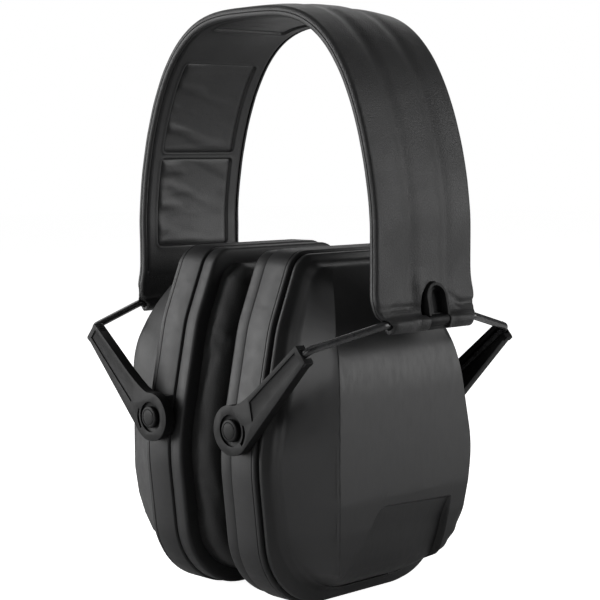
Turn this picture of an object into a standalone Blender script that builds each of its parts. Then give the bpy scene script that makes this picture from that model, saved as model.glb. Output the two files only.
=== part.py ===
"""Passive folding ear muffs: a padded sprung headband, two wire yokes, four slide arms and two ear cups.

X is the ear axis (+X is the wearer's left ear), -Y is the front and +Z is up. The cups stand on Z = 0.
Every length below is in millimetres; MM turns it into metres where a mesh is made.
Run with: blender --background --python part.py
"""

import math

import bmesh
import bpy
import numpy as np
from mathutils import Vector

MM = 0.001
GAP = 0.3
SIDES = (("left", 1), ("right", -1))
ENDS = (("front", -1), ("rear", 1))

# Fold axis (the yoke wire inside the hem of the headband) and swivel axis (the studs on the cup)
FOLD_X = 57.5
FOLD_Z = 90.5
PIVOT_X = 19.2
PIVOT_Z = 58.0
REACH = math.hypot(FOLD_X - PIVOT_X, FOLD_Z - PIVOT_Z)
LEG_X = (PIVOT_X - FOLD_X) / REACH
LEG_Z = (PIVOT_Z - FOLD_Z) / REACH

# Headband: a squared arch on two straight legs that flare at the hem
BAND_HALF_SPAN = 55.9
BAND_RISE = 68.9
BAND_SPRING_LINE = 119.0
BAND_SIDE_POWER = 0.61
BAND_CROWN_POWER = 1.25
BAND_END_Z = 91.6
BAND_FLARE = 2.1
BAND_FLARE_START = 106.0
BAND_HALF_WIDTH = 22.0
BAND_THICK = 3.4
COVER_WALL = 0.9
CROWN_BULGE = 1.9
CROWN_PAD_END = 46.0
VALLEYS = (-7.0, 9.2)
VALLEY_DEPTH = 0.45
VALLEY_WIDTH = 2.4
HEM_RADIUS = 2.9
HEM_HALF_LENGTH = 18.6
HEM_MOUTH_Y = 19.2
CUT_PAST_BAND = 25.0
HEM_BORE = 1.65
HEM_EXIT_RADIUS = 2.3
SPRING_HALF_WIDTH = 12.0
PAD_ACROSS = (-14.0, -6.0, 6.0, 14.0)
LINER_HALF_WIDTH = 20.2
WINDOW_HALF_WIDTH = 16.0
CROWN_WINDOW = 24.0
UPPER_WINDOW = (43.0, 77.0)
LOWER_WINDOW = (79.3, 110.4)
SPRING_DEPTHS = (1.75, 2.2)
SPRING_END = 116.0
CROWN_PAD_DEPTH = 1.45
LINER_DEPTH = 2.5
LINER_END = 121.0
PAD_RECESS = 0.3

# End bracket: an arched plastic rib that holds the wire in the middle of the hem
BRACKET_Y = 2.6
BRACKET_HALF_WIDTH = 4.6
BRACKET_BOTTOM = 87.4
BRACKET_TOP = 102.0
BRACKET_INNER_X = 54.7
BRACKET_OUTER_X = 60.4
POCKET_INNER_X = 50.0
BRACKET_LEAN = 2.8
BRACKET_WALL = 1.3
BRACKET_RECESS = 1.7

# Wire yoke
WIRE_RADIUS = 1.2
WIRE_EXIT_Y = 20.7
WIRE_LEG_Y = 46.0
WIRE_SHOULDER = 9.1
WIRE_LEG_END = 36.0
WIRE_BEND = 4.0

# Slide arms, laid out along the leg from the fold axis (v) and across it (w)
ARM_INNER_Y = 44.4
ARM_OUTER_Y = 47.9
ARM_TOP = 10.4
ARM_EYE_RADIUS = 7.8
ARM_HALF_TOP = 3.0
ARM_NECK = 27.0
ARM_NECK_HALF = 3.4
ARM_EYE_LEAN = 46.0
ARM_LUG = 0.6
ARM_LUG_RUN = (1.6, 2.0)
ARM_EDGE = 0.45
CHANNEL_HALF = 1.6
CHANNEL_RUN_IN = 4.0
CHANNEL_END = 37.4
CHANNEL_FLOOR_Y = 47.3
EYE_BORE = 2.4
COUNTERBORE = 5.0
COUNTERBORE_FLOOR_Y = 47.0
STOP_HOLE_RADIUS = 1.0
STOP_HOLE_OFFSET = (3.9, 4.9)
POCKET_DEPTH = 0.35
POCKET_START = 1.6
POCKET_HALF = (1.9, 3.4, 2.0)
POCKET_END = 41.0
POCKET_SLANT = 3.0

# Pivot stud
STUD_SHANK = 2.0
STUD_LEAD = (0.5, 0.6)
STUD_HEAD = 3.5
STUD_EDGE = 0.6
STUD_INNER_Y = 40.0
STUD_UNDERSIDE_Y = 47.3
STUD_FACE_Y = 48.9
STUD_BORE_RUN = (30.0, 50.0)

# Ear cup outline corners on the +Y side as (y, z, radius, steps in the arc), for the ring and for the dome
CUP_CORNERS = ((27.0, 112.0, 9.0, 5), (36.6, 89.0, 40.0, 2), (44.9, 50.0, 60.0, 3), (39.4, 0.0, 25.0, 6))
DOME_CORNERS = ((27.0, 112.0, 9.0, 5), (36.0, 89.0, 40.0, 2), (44.8, 48.0, 50.0, 3), (37.4, 0.0, 31.0, 6))

# Ear cup, from the centre plane outward
CUSHION_FACE_X = 0.45
CUSHION_BACK_X = 12.0
SKIRT_FACE_X = 9.3
SKIRT_BACK_X = 14.4
SKIRT_WALL = 1.0
SKIRT_INSET = 0.6
PAD_INSET = 5.9
EAR_HOLE_INSET = 22.0
PLATE_HOLE_INSET = 21.0
PLATE_INSET = 2.0
PLATE_FRONT_X = 12.3
RING_FRONT_X = 14.8
RING_BACK_X = 25.7
RING_INNER_INSET = 4.6
RING_EDGE = 0.7
BOSS_HALF_X = 4.2
BOSS_HALF_Z = 6.8
BOSS_INNER_Y = 39.0
BOSS_FACE_Y = 44.1
SHELL_FRONT_X = 26.0
SHELL_INNER_INSET = 6.6
SHELL_LIP = ((SHELL_FRONT_X, 1.9), (26.8, 1.2), (27.8, 1.5))
SHELL_COVE = ((28.6, 3.6), (30.2, 4.6))
EDGE_X = 31.4
EDGE_INSET = 5.2
PANEL_X = 48.4
PANEL_CREASE_Y = 31.0
PANEL_SLOPE = 0.9
FACE_INSETS = (5.8, 6.8, 8.2, 10.0, 12.0, 13.8, 16.0, 20.0)
FACE_SHARES = (0.84, 0.68, 0.52, 0.36, 0.2)
FACE_CENTRE = (0.0, 56.0)
REAR_SLOPE_WIDTH = 8.8
LEAST_SLOPE_WIDTH = 3.0
TOP_SLOPE_RUN = 38.0
BOTTOM_SLOPE = ((5.2, 31.4), (7.0, 36.5), (10.0, 41.0), (14.0, 43.8), (20.0, 45.8), (27.0, 47.3), (36.0, 48.4))
INSIDE_INSETS = (20.0, 15.0, 11.0, 8.0)
INSIDE_DEPTH = 2.6
INSIDE_DEEPEST = 43.0
FACET_TOP_Z = 33.5
FACET_TOP_X = 48.0
FACET_BOTTOM_Z = 4.0
FACET_BOTTOM_X = 40.2
FACET_CLEAR_X = 57.0
FACET_OUTLINE = ((-13.0, 33.5), (-26.0, 9.0), (-32.0, -4.0), (18.8, -4.0), (19.4, 9.0), (20.5, 32.0))
FOAM_BLOCK = ((15.2, 11.0), (16.6, 9.4), (28.0, 9.4))
FOAM_TOP_INSET = 11.4
FOAM_TOP_DEPTH = 3.8
FOAM_DEEPEST = 37.0

# Linear base colour, roughness and metallic value of each material
MATERIALS = {
    "leatherette": ((0.022, 0.022, 0.023), 0.55, 0.0),
    "vinyl": ((0.030, 0.030, 0.031), 0.45, 0.0),
    "foam": ((0.060, 0.060, 0.062), 0.95, 0.0),
    "spring_steel": ((0.42, 0.42, 0.43), 0.35, 1.0),
    "wire_steel": ((0.05, 0.05, 0.05), 0.30, 0.8),
    "moulded_plastic": ((0.020, 0.020, 0.021), 0.42, 0.0),
    "shell_plastic": ((0.026, 0.026, 0.027), 0.50, 0.0),
}


# ---------------------------------------------------------------- general helpers


def clear_scene():
    for found in list(bpy.data.objects):
        bpy.data.objects.remove(found, do_unlink=True)


def make_material(name):
    colour, roughness, metallic = MATERIALS[name]
    material = bpy.data.materials.new(name)
    material.use_nodes = True
    shader = material.node_tree.nodes["Principled BSDF"]
    shader.inputs["Base Color"].default_value = (*colour, 1.0)
    shader.inputs["Roughness"].default_value = roughness
    shader.inputs["Metallic"].default_value = metallic
    return material


def make_empty(name, place, parent=None):
    """An empty on a joint's axis, at a place given in millimetres."""
    empty = bpy.data.objects.new(name, None)
    empty.empty_display_size = 0.01
    bpy.context.collection.objects.link(empty)
    empty["place"] = place
    here = Vector(place)
    if parent:
        here = here - Vector(parent["place"])
        empty.parent = parent
    empty.location = here * MM
    return empty


def make_object(name, mesh_data, material, parent, smooth_angle=35.0):
    """Turns a bmesh in millimetres into an object whose origin is its parent's place."""
    bmesh.ops.recalc_face_normals(mesh_data, faces=mesh_data.faces)
    origin = Vector(parent["place"])
    for vert in mesh_data.verts:
        vert.co = (vert.co - origin) * MM
    mesh = bpy.data.meshes.new(name)
    mesh_data.to_mesh(mesh)
    mesh_data.free()
    mesh.shade_smooth()
    mesh.set_sharp_from_angle(angle=math.radians(smooth_angle))
    mesh.materials.append(material)
    found = bpy.data.objects.new(name, mesh)
    bpy.context.collection.objects.link(found)
    found.parent = parent
    return found


def make_cutter(name, mesh_data, parent):
    cutter = make_object(name, mesh_data, MATERIAL["moulded_plastic"], parent)
    cutter.hide_render = True
    cutter.display_type = "WIRE"
    return cutter


def add_boolean(target, tool, operation):
    modifier = target.modifiers.new(operation.lower(), "BOOLEAN")
    modifier.operation = operation
    modifier.solver = "EXACT"
    modifier.object = tool


def loft(loops, closed=False):
    """Skins equally long closed loops; an open stack gets flat end caps, a closed one becomes a ring."""
    made = bmesh.new()
    rings = [[made.verts.new(point) for point in loop] for loop in loops]
    count = len(rings[0])
    followers = rings[1:] + ([rings[0]] if closed else [])
    for here, there in zip(rings, followers):
        for k in range(count):
            after = (k + 1) % count
            made.faces.new((here[k], here[after], there[after], there[k]))
    if not closed:
        made.faces.new(rings[0])
        made.faces.new(rings[-1])
    return made


def prism(outline, low, high):
    """A closed outline of (x, z) points extruded along Y."""
    return loft([[(x, y, z) for x, z in outline] for y in (low, high)])


def box(low, high):
    outline = ((low[0], low[2]), (high[0], low[2]), (high[0], high[2]), (low[0], high[2]))
    return prism(outline, low[1], high[1])


def circle(centre, radius, steps):
    turns = [math.tau * k / steps for k in range(steps)]
    return [(centre[0] + radius * math.cos(t), centre[1] + radius * math.sin(t)) for t in turns]


def rod(centre, radius, low, high, steps=24):
    """A round bar along Y, its centre given as (x, z)."""
    return prism(circle(centre, radius, steps), low, high)


def turned(profile, centre, side, steps=24):
    """Turns (radius, y) points about the Y axis through (x, z); the end points lie off the axis."""
    return loft([[(x, side * y, z) for x, z in circle(centre, r, steps)] for r, y in profile])


# ---------------------------------------------------------------- headband


def band_outer(angle_or_z, on_arc):
    """A point of the band's outer face in the XZ plane, on the arch or on the left leg."""
    if on_arc:
        x = BAND_HALF_SPAN * math.cos(angle_or_z) ** BAND_SIDE_POWER
        return x, BAND_SPRING_LINE + BAND_RISE * math.sin(angle_or_z) ** BAND_CROWN_POWER
    run = max(0.0, BAND_FLARE_START - angle_or_z) / (BAND_FLARE_START - BAND_END_Z)
    return BAND_HALF_SPAN + BAND_FLARE * run * run, angle_or_z


def trace_band():
    """The left half of the outer face, from the crown down to the hem, with its running length."""
    arc_steps = 180
    leg_steps = 70
    quarter = math.pi / 2
    points = [band_outer(quarter - quarter * k / arc_steps, True) for k in range(arc_steps + 1)]
    drop = BAND_SPRING_LINE - BAND_END_Z
    points += [band_outer(BAND_SPRING_LINE - drop * k / leg_steps, False) for k in range(1, leg_steps + 1)]
    lengths = [0.0]
    for a, b in zip(points, points[1:]):
        lengths.append(lengths[-1] + math.dist(a, b))
    return points, lengths


BAND_POINTS, BAND_LENGTHS = trace_band()
BAND_LENGTH = BAND_LENGTHS[-1]


def band_frame(distance):
    """Outer point and outward normal at a distance along the band from the crown, + to the left."""
    side = 1 if distance >= 0 else -1
    run = min(abs(distance), BAND_LENGTH - 1e-6)
    k = 0
    while BAND_LENGTHS[k + 1] < run:
        k += 1
    share = (run - BAND_LENGTHS[k]) / (BAND_LENGTHS[k + 1] - BAND_LENGTHS[k])
    (x0, z0), (x1, z1) = BAND_POINTS[k], BAND_POINTS[k + 1]
    slope = math.hypot(x1 - x0, z1 - z0)
    normal = ((z0 - z1) / slope, (x1 - x0) / slope)
    return side * (x0 + share * (x1 - x0)), z0 + share * (z1 - z0), side * normal[0], normal[1]


def band_point(distance, y, depth):
    x, z, nx, nz = band_frame(distance)
    return x - nx * depth, y, z - nz * depth


def spread(low, high, step):
    """Evenly spaced values from low to high, no further apart than step."""
    count = max(1, math.ceil((high - low) / step))
    return [low + (high - low) * k / count for k in range(count + 1)]


def sweep_band(profile_at, low, high, step=7.0):
    """Sweeps a closed (y, depth) profile, which may change along the band, between two distances."""
    return loft([[band_point(s, y, d) for y, d in profile_at(s)] for s in spread(low, high, step)])


def crown_bulge(distance, y):
    """How far the padded crown stands out over the plain band."""
    if abs(distance) >= CROWN_PAD_END:
        return 0.0
    along = math.cos(math.pi / 2 * distance / CROWN_PAD_END) ** 2
    return CROWN_BULGE * along * max(0.0, 1 - (y / BAND_HALF_WIDTH) ** 2)


def cover_depth(distance, y):
    """Depth of the cover's outer face: two soft valleys part it into three lobes."""
    valleys = sum(math.exp(-(((y - v) / VALLEY_WIDTH) ** 2)) for v in VALLEYS)
    return 0.1 + VALLEY_DEPTH * valleys - crown_bulge(distance, y)


def cover_profile(distance):
    """C-shaped section of the cover, outer face first."""
    edge = BAND_HALF_WIDTH
    inner = edge - COVER_WALL - 0.3
    across = [-20.8, -15.0, -10.4, VALLEYS[0], -3.6, 1.0, 5.8, VALLEYS[1], 12.6, 20.8]
    outer = [(-edge, 1.6), (-edge + 0.4, 0.7)] + [(y, cover_depth(distance, y)) for y in across]
    outer += [(edge - 0.4, 0.7), (edge, 1.6), (edge, 2.6), (edge - 0.7, BAND_THICK)]
    under = [(y, COVER_WALL - crown_bulge(distance, y)) for y in (inner, *reversed(PAD_ACROSS), -inner)]
    hollow = [(inner, BAND_THICK)] + under + [(-inner, BAND_THICK)]
    return outer + hollow + [(-edge + 0.7, BAND_THICK), (-edge, 2.6)]


def arch_outline(half_width, low, high, steps=10):
    """An upright slot with a round top in the YZ plane, centred on the bracket."""
    crown = high - half_width
    arc = [math.pi * k / steps for k in range(steps + 1)]
    top = [(BRACKET_Y + half_width * math.cos(t), crown + half_width * math.sin(t)) for t in arc]
    return [(BRACKET_Y + half_width, low)] + top + [(BRACKET_Y - half_width, low)]


def arch_block(half_width, low, high, inner_x, outer_x, side, lean_in=0.0, lean_out=0.0):
    """An arched slab; each face can lean toward the centre plane over the height of the bracket."""
    rise = BRACKET_TOP - BRACKET_BOTTOM
    loops = []
    for x, lean in ((inner_x, lean_in), (outer_x, lean_out)):
        outline = arch_outline(half_width, low, high)
        loops.append([(side * (x - lean * (z - BRACKET_BOTTOM) / rise), y, z) for y, z in outline])
    return loft(loops)


def build_cover(parent):
    """Outer leatherette skin: a C-section with a rolled hem at each end for the wire."""
    skin = sweep_band(cover_profile, -BAND_LENGTH, BAND_LENGTH)
    cover = make_object("headband_cover", skin, MATERIAL["leatherette"], parent)
    for name, side in SIDES:
        centre = (side * FOLD_X, FOLD_Z)
        hem = rod(centre, HEM_RADIUS, -HEM_HALF_LENGTH, HEM_HALF_LENGTH)
        add_boolean(cover, make_cutter(f"cut_hem_{name}", hem, parent), "UNION")
        bore = rod(centre, HEM_BORE, -CUT_PAST_BAND, CUT_PAST_BAND)
        add_boolean(cover, make_cutter(f"cut_hem_bore_{name}", bore, parent), "DIFFERENCE")
        for end, reach in ENDS:
            run = sorted((reach * HEM_MOUTH_Y, reach * CUT_PAST_BAND))
            mouth = rod(centre, HEM_EXIT_RADIUS, *run)
            add_boolean(cover, make_cutter(f"cut_exit_{end}_{name}", mouth, parent), "DIFFERENCE")
        size = (BRACKET_HALF_WIDTH + GAP, BRACKET_BOTTOM - 5, BRACKET_TOP + GAP)
        pocket = arch_block(*size, POCKET_INNER_X, BRACKET_OUTER_X + 5, side)
        add_boolean(cover, make_cutter(f"cut_pocket_{name}", pocket, parent), "DIFFERENCE")
    return cover


def sheet_with_windows(lengths, widths, near, far, is_window):
    """A sheet between two depths on a grid along and across the band, open where is_window says so."""
    made = bmesh.new()
    corner = {}

    def at(i, j, depth):
        key = (i, j, depth)
        if key not in corner:
            corner[key] = made.verts.new(band_point(lengths[i], widths[j], depth))
        return corner[key]

    def solid(i, j):
        inside = 0 <= i < len(lengths) - 1 and 0 <= j < len(widths) - 1
        return inside and not is_window((lengths[i] + lengths[i + 1]) / 2, (widths[j] + widths[j + 1]) / 2)

    for i in range(len(lengths) - 1):
        for j in range(len(widths) - 1):
            if not solid(i, j):
                continue
            ring = ((i, j), (i + 1, j), (i + 1, j + 1), (i, j + 1))
            for depth in (near, far):
                made.faces.new([at(*c, depth) for c in ring])
            beyond = ((i, j - 1), (i + 1, j), (i, j + 1), (i - 1, j))
            for k, cell in enumerate(beyond):
                if not solid(*cell):
                    a, b = ring[k], ring[(k + 1) % 4]
                    made.faces.new([at(*a, near), at(*b, near), at(*b, far), at(*a, far)])
    return made


def in_window(distance, y):
    run = abs(distance)
    in_length = run < CROWN_WINDOW
    in_length = in_length or UPPER_WINDOW[0] < run < UPPER_WINDOW[1]
    in_length = in_length or LOWER_WINDOW[0] < run < LOWER_WINDOW[1]
    return in_length and abs(y) < WINDOW_HALF_WIDTH


def build_liner(parent):
    """Inner frame with five window openings."""
    stops = [0.0, CROWN_WINDOW, *UPPER_WINDOW, *LOWER_WINDOW, LINER_END]
    half = []
    for low, high in zip(stops, stops[1:]):
        half += spread(low, high, 6.5)[:-1]
    half.append(LINER_END)
    lengths = [-s for s in reversed(half[1:])] + half
    widths = [-LINER_HALF_WIDTH, -WINDOW_HALF_WIDTH, WINDOW_HALF_WIDTH, LINER_HALF_WIDTH]
    sheet = sheet_with_windows(lengths, widths, LINER_DEPTH, BAND_THICK, in_window)
    return make_object("headband_liner", sheet, MATERIAL["vinyl"], parent)


def flat_layer(half_width, near, far):
    """A plain rectangular section, the same all along the band."""
    section = [(-half_width, near), (half_width, near), (half_width, far), (-half_width, far)]
    return lambda distance: section


def crown_pad_section(distance):
    """The crown's foam: flat against the spring and rounded under the cover."""
    top = [(y, COVER_WALL + GAP - crown_bulge(distance, y)) for y in PAD_ACROSS]
    return top + [(PAD_ACROSS[-1], CROWN_PAD_DEPTH), (PAD_ACROSS[0], CROWN_PAD_DEPTH)]


def build_window_pads(parent):
    """Five quilted pads, one in each window of the liner."""
    profile = flat_layer(WINDOW_HALF_WIDTH - GAP, LINER_DEPTH, BAND_THICK - PAD_RECESS)
    spans = {"pad_crown": (-CROWN_WINDOW, CROWN_WINDOW)}
    for name, side in SIDES:
        for level, (low, high) in (("upper", UPPER_WINDOW), ("lower", LOWER_WINDOW)):
            spans[f"pad_{level}_{name}"] = tuple(sorted((side * low, side * high)))
    for node, (low, high) in spans.items():
        pad = sweep_band(profile, low + GAP, high - GAP, 6.5)
        make_object(node, pad, MATERIAL["vinyl"], parent)


def build_inner_layers(parent):
    """Sprung steel strip inside the liner, and the foam pad between it and the crown of the cover."""
    strip = sweep_band(flat_layer(SPRING_HALF_WIDTH, *SPRING_DEPTHS), -SPRING_END, SPRING_END, 7.0)
    make_object("headband_spring", strip, MATERIAL["spring_steel"], parent)
    reach = CROWN_PAD_END - 6.0
    pad = sweep_band(crown_pad_section, -reach, reach, 7.0)
    make_object("headband_foam", pad, MATERIAL["foam"], parent)


def build_end_bracket(name, side, parent):
    """Arched rib in the hem with the wire's bearing through it and a recess open at the bottom."""
    size = (BRACKET_HALF_WIDTH, BRACKET_BOTTOM, BRACKET_TOP)
    body = arch_block(*size, BRACKET_INNER_X, BRACKET_OUTER_X, side, 0.0, BRACKET_LEAN)
    bracket = make_object(f"end_bracket_{name}", body, MATERIAL["moulded_plastic"], parent)
    hollow = (BRACKET_HALF_WIDTH - BRACKET_WALL, BRACKET_BOTTOM - 2, BRACKET_TOP - BRACKET_WALL)
    floor_x = BRACKET_OUTER_X - BRACKET_RECESS
    recess = arch_block(*hollow, floor_x, BRACKET_OUTER_X + 3, side, BRACKET_LEAN)
    add_boolean(bracket, make_cutter(f"cut_recess_{name}", recess, parent), "DIFFERENCE")
    bore = rod((side * FOLD_X, FOLD_Z), WIRE_RADIUS + GAP, -BAND_HALF_WIDTH, BAND_HALF_WIDTH)
    add_boolean(bracket, make_cutter(f"cut_bearing_{name}", bore, parent), "DIFFERENCE")


# ---------------------------------------------------------------- wire yokes and slide arms


def on_leg(v, w, side):
    """(x, z) of a point v along the leg from the fold axis and w across it, + down and outward."""
    return side * (FOLD_X + v * LEG_X - w * LEG_Z), FOLD_Z + v * LEG_Z + w * LEG_X


def rounded_path(corners, radius, steps=5):
    """A polyline whose inner corners are replaced by arcs of the given radius."""
    points = [Vector(corners[0])]
    for before, corner, after in zip(corners, corners[1:], corners[2:]):
        here = Vector(corner)
        back = (Vector(before) - here).normalized()
        ahead = (Vector(after) - here).normalized()
        half = back.angle(ahead) / 2
        reach = radius / math.tan(half)
        centre = here + (back + ahead).normalized() * (radius / math.sin(half))
        start = here + back * reach - centre
        end = here + ahead * reach - centre
        sweep = start.angle(end)
        for k in range(steps + 1):
            t = sweep * k / steps
            points.append(centre + (start * math.sin(sweep - t) + end * math.sin(t)) / math.sin(sweep))
    points.append(Vector(corners[-1]))
    return points


def build_yoke(name, side, parent):
    """One bent wire: a bar through the hem, two shoulders and a leg in each arm."""
    route = (
        (WIRE_LEG_END, -WIRE_LEG_Y),
        (WIRE_SHOULDER, -WIRE_LEG_Y),
        (0.0, -WIRE_EXIT_Y),
        (0.0, WIRE_EXIT_Y),
        (WIRE_SHOULDER, WIRE_LEG_Y),
        (WIRE_LEG_END, WIRE_LEG_Y),
    )
    corners = []
    for v, y in route:
        x, z = on_leg(v, 0.0, side)
        corners.append((x, y, z))
    origin = Vector(parent["place"])
    curve = bpy.data.curves.new(f"wire_yoke_{name}", "CURVE")
    curve.dimensions = "3D"
    curve.bevel_depth = WIRE_RADIUS * MM
    curve.bevel_resolution = 3
    curve.use_fill_caps = True
    path = rounded_path(corners, WIRE_BEND)
    spline = curve.splines.new("POLY")
    spline.points.add(len(path) - 1)
    for point, place in zip(spline.points, path):
        point.co = (*((place - origin) * MM), 1.0)
    curve.materials.append(MATERIAL["wire_steel"])
    yoke = bpy.data.objects.new(f"wire_yoke_{name}", curve)
    bpy.context.collection.objects.link(yoke)
    yoke.parent = parent


def arm_outline():
    """The arm's side view as (v, w): a straight outer edge, a round eye and a curved inner edge."""
    lean = math.asin((ARM_EYE_RADIUS - ARM_HALF_TOP) / (REACH - ARM_TOP))
    lean_in = math.radians(ARM_EYE_LEAN)
    sweep = math.pi + lean + lean_in
    turns = [math.pi / 2 + lean - sweep * k / 16 for k in range(17)]
    eye = [(REACH + ARM_EYE_RADIUS * math.cos(t), ARM_EYE_RADIUS * math.sin(t)) for t in turns]
    last_v, last_w = eye[-1]
    neck_v, neck_w = ARM_NECK, -ARM_NECK_HALF
    bend_v = last_v + (last_w - neck_w) * math.tan(lean_in)
    curve = []
    for k in range(1, 7):
        t = k / 6
        v = (1 - t) ** 2 * last_v + 2 * t * (1 - t) * bend_v + t * t * neck_v
        w = (1 - t) ** 2 * last_w + 2 * t * (1 - t) * neck_w + t * t * neck_w
        curve.append((v, w))
    lug = [(ARM_TOP, ARM_HALF_TOP + ARM_LUG), (ARM_TOP + ARM_LUG_RUN[0], ARM_HALF_TOP + ARM_LUG)]
    lug.append((ARM_TOP + ARM_LUG_RUN[1], ARM_HALF_TOP))
    return lug + eye + curve + [(ARM_TOP, -ARM_HALF_TOP)]


def arm_solid(outline, side, low, high):
    return prism([on_leg(v, w, side) for v, w in outline], low, high)


def build_arm(name, side, end, reach, parent):
    """Moulded arm: a channel for the wire on its inner face and an eye for the stud."""

    def span(low, high):
        return sorted((reach * low, reach * high))

    node = f"arm_{end}_{name}"
    body = arm_solid(arm_outline(), side, *span(ARM_INNER_Y, ARM_OUTER_Y))
    arm = make_object(node, body, MATERIAL["moulded_plastic"], parent)
    bevel = arm.modifiers.new("soft_edges", "BEVEL")
    bevel.width = ARM_EDGE * MM
    bevel.segments = 1
    bevel.angle_limit = math.radians(40)
    eye = on_leg(REACH, 0.0, side)
    mouth = ARM_TOP - CHANNEL_RUN_IN
    channel = [(mouth, -CHANNEL_HALF), (mouth, CHANNEL_HALF)]
    channel += [(CHANNEL_END, CHANNEL_HALF), (CHANNEL_END, -CHANNEL_HALF)]
    notch = (eye[0] + side * STOP_HOLE_OFFSET[0], eye[1] + STOP_HOLE_OFFSET[1])
    tools = {
        "channel": arm_solid(channel, side, *span(ARM_INNER_Y - 1, CHANNEL_FLOOR_Y)),
        "pocket": arm_solid(pocket_outline(), side, *span(ARM_OUTER_Y - POCKET_DEPTH, ARM_OUTER_Y + 1)),
        "eye": rod(eye, EYE_BORE, *span(ARM_INNER_Y - 1, ARM_OUTER_Y + 1), steps=20),
        "counterbore": rod(eye, COUNTERBORE, *span(COUNTERBORE_FLOOR_Y, ARM_OUTER_Y + 1)),
        "stop_hole": rod(notch, STOP_HOLE_RADIUS, *span(ARM_INNER_Y - 1, ARM_OUTER_Y + 1), steps=10),
    }
    for label, solid in tools.items():
        add_boolean(arm, make_cutter(f"cut_{label}_{end}_{name}", solid, parent), "DIFFERENCE")


def pocket_outline():
    """Shallow tapered pocket that leaves a raised edge round the arm's outer face."""
    start = ARM_TOP + POCKET_START
    top, outer, inner = POCKET_HALF
    return [(start, -top), (start, top), (POCKET_END, outer), (POCKET_END - POCKET_SLANT, -inner)]


def build_stud(name, side, end, reach, parent):
    """Headed stud: a push fit in the ring's boss, and the axle of the arm's eye."""
    profile = (
        (STUD_SHANK - STUD_LEAD[0], STUD_INNER_Y),
        (STUD_SHANK, STUD_INNER_Y + STUD_LEAD[1]),
        (STUD_SHANK, STUD_UNDERSIDE_Y),
        (STUD_HEAD, STUD_UNDERSIDE_Y),
        (STUD_HEAD, STUD_FACE_Y - STUD_EDGE),
        (STUD_HEAD - STUD_EDGE, STUD_FACE_Y),
    )
    solid = turned(profile, (side * PIVOT_X, PIVOT_Z), reach, steps=20)
    make_object(f"pivot_stud_{end}_{name}", solid, MATERIAL["moulded_plastic"], parent)


# ---------------------------------------------------------------- ear cups


def cup_outline(inset, half=CUP_CORNERS):
    """An egg-like outline in the YZ plane, moved inward by an inset; every inset has as many points."""
    corners = list(half) + [(-y, z, r, steps) for y, z, r, steps in reversed(half)]
    corners = list(reversed(corners))
    count = len(corners)
    outline = []
    for k in range(count):
        here = Vector(corners[k][:2])
        to_here = (here - Vector(corners[k - 1][:2])).normalized()
        onward = (Vector(corners[(k + 1) % count][:2]) - here).normalized()
        in_a = Vector((-to_here.y, to_here.x))
        in_b = Vector((-onward.y, onward.x))
        moved = here + (in_a + in_b) * (inset / (1 + in_a.dot(in_b)))
        turn = to_here.angle(onward)
        radius = max(corners[k][2] - inset, 7.0)
        start = moved - to_here * radius * math.tan(turn / 2)
        centre = start + in_a * radius
        steps = corners[k][3]
        for step in range(steps + 1):
            t = turn * step / steps
            arm = to_here * math.sin(t) - in_a * math.cos(t)
            outline.append(tuple(centre + arm * radius))
    return outline


def cup_loop(x, inset, side, half=CUP_CORNERS):
    return [(side * x, y, z) for y, z in cup_outline(inset, half)]


def cup_loops(sections, side, half=CUP_CORNERS):
    return [cup_loop(x, inset, side, half) for x, inset in sections]


def cup_loft(sections, side, closed=False):
    return loft(cup_loops(sections, side), closed)


def build_cushion(name, side, parent):
    """Ear cushion: a foam ring in vinyl, with a moulded skirt that laps over the plate's edge."""
    face = CUSHION_FACE_X
    skirt = SKIRT_INSET
    sections = (
        (SKIRT_BACK_X, skirt),
        (SKIRT_FACE_X + 0.8, skirt),
        (SKIRT_FACE_X, skirt + 0.9),
        (SKIRT_FACE_X, PAD_INSET - 0.3),
        (face + 3.0, PAD_INSET),
        (face + 0.9, PAD_INSET + 1.8),
        (face, PAD_INSET + 4.6),
        (face, EAR_HOLE_INSET - 4.4),
        (face + 1.2, EAR_HOLE_INSET - 1.2),
        (face + 3.6, EAR_HOLE_INSET),
        (CUSHION_BACK_X, EAR_HOLE_INSET),
        (CUSHION_BACK_X, skirt + SKIRT_WALL),
        (SKIRT_BACK_X, skirt + SKIRT_WALL),
    )
    make_object(f"ear_cushion_{name}", cup_loft(sections, side, True), MATERIAL["vinyl"], parent)


def build_plate(name, side, parent):
    """Flat plate that carries the cushion, with the ear opening through it."""
    sections = (
        (SKIRT_BACK_X, PLATE_INSET),
        (PLATE_FRONT_X, PLATE_INSET),
        (PLATE_FRONT_X, PLATE_HOLE_INSET),
        (SKIRT_BACK_X, PLATE_HOLE_INSET),
    )
    plate = cup_loft(sections, side, True)
    make_object(f"cushion_plate_{name}", plate, MATERIAL["moulded_plastic"], parent)


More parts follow.
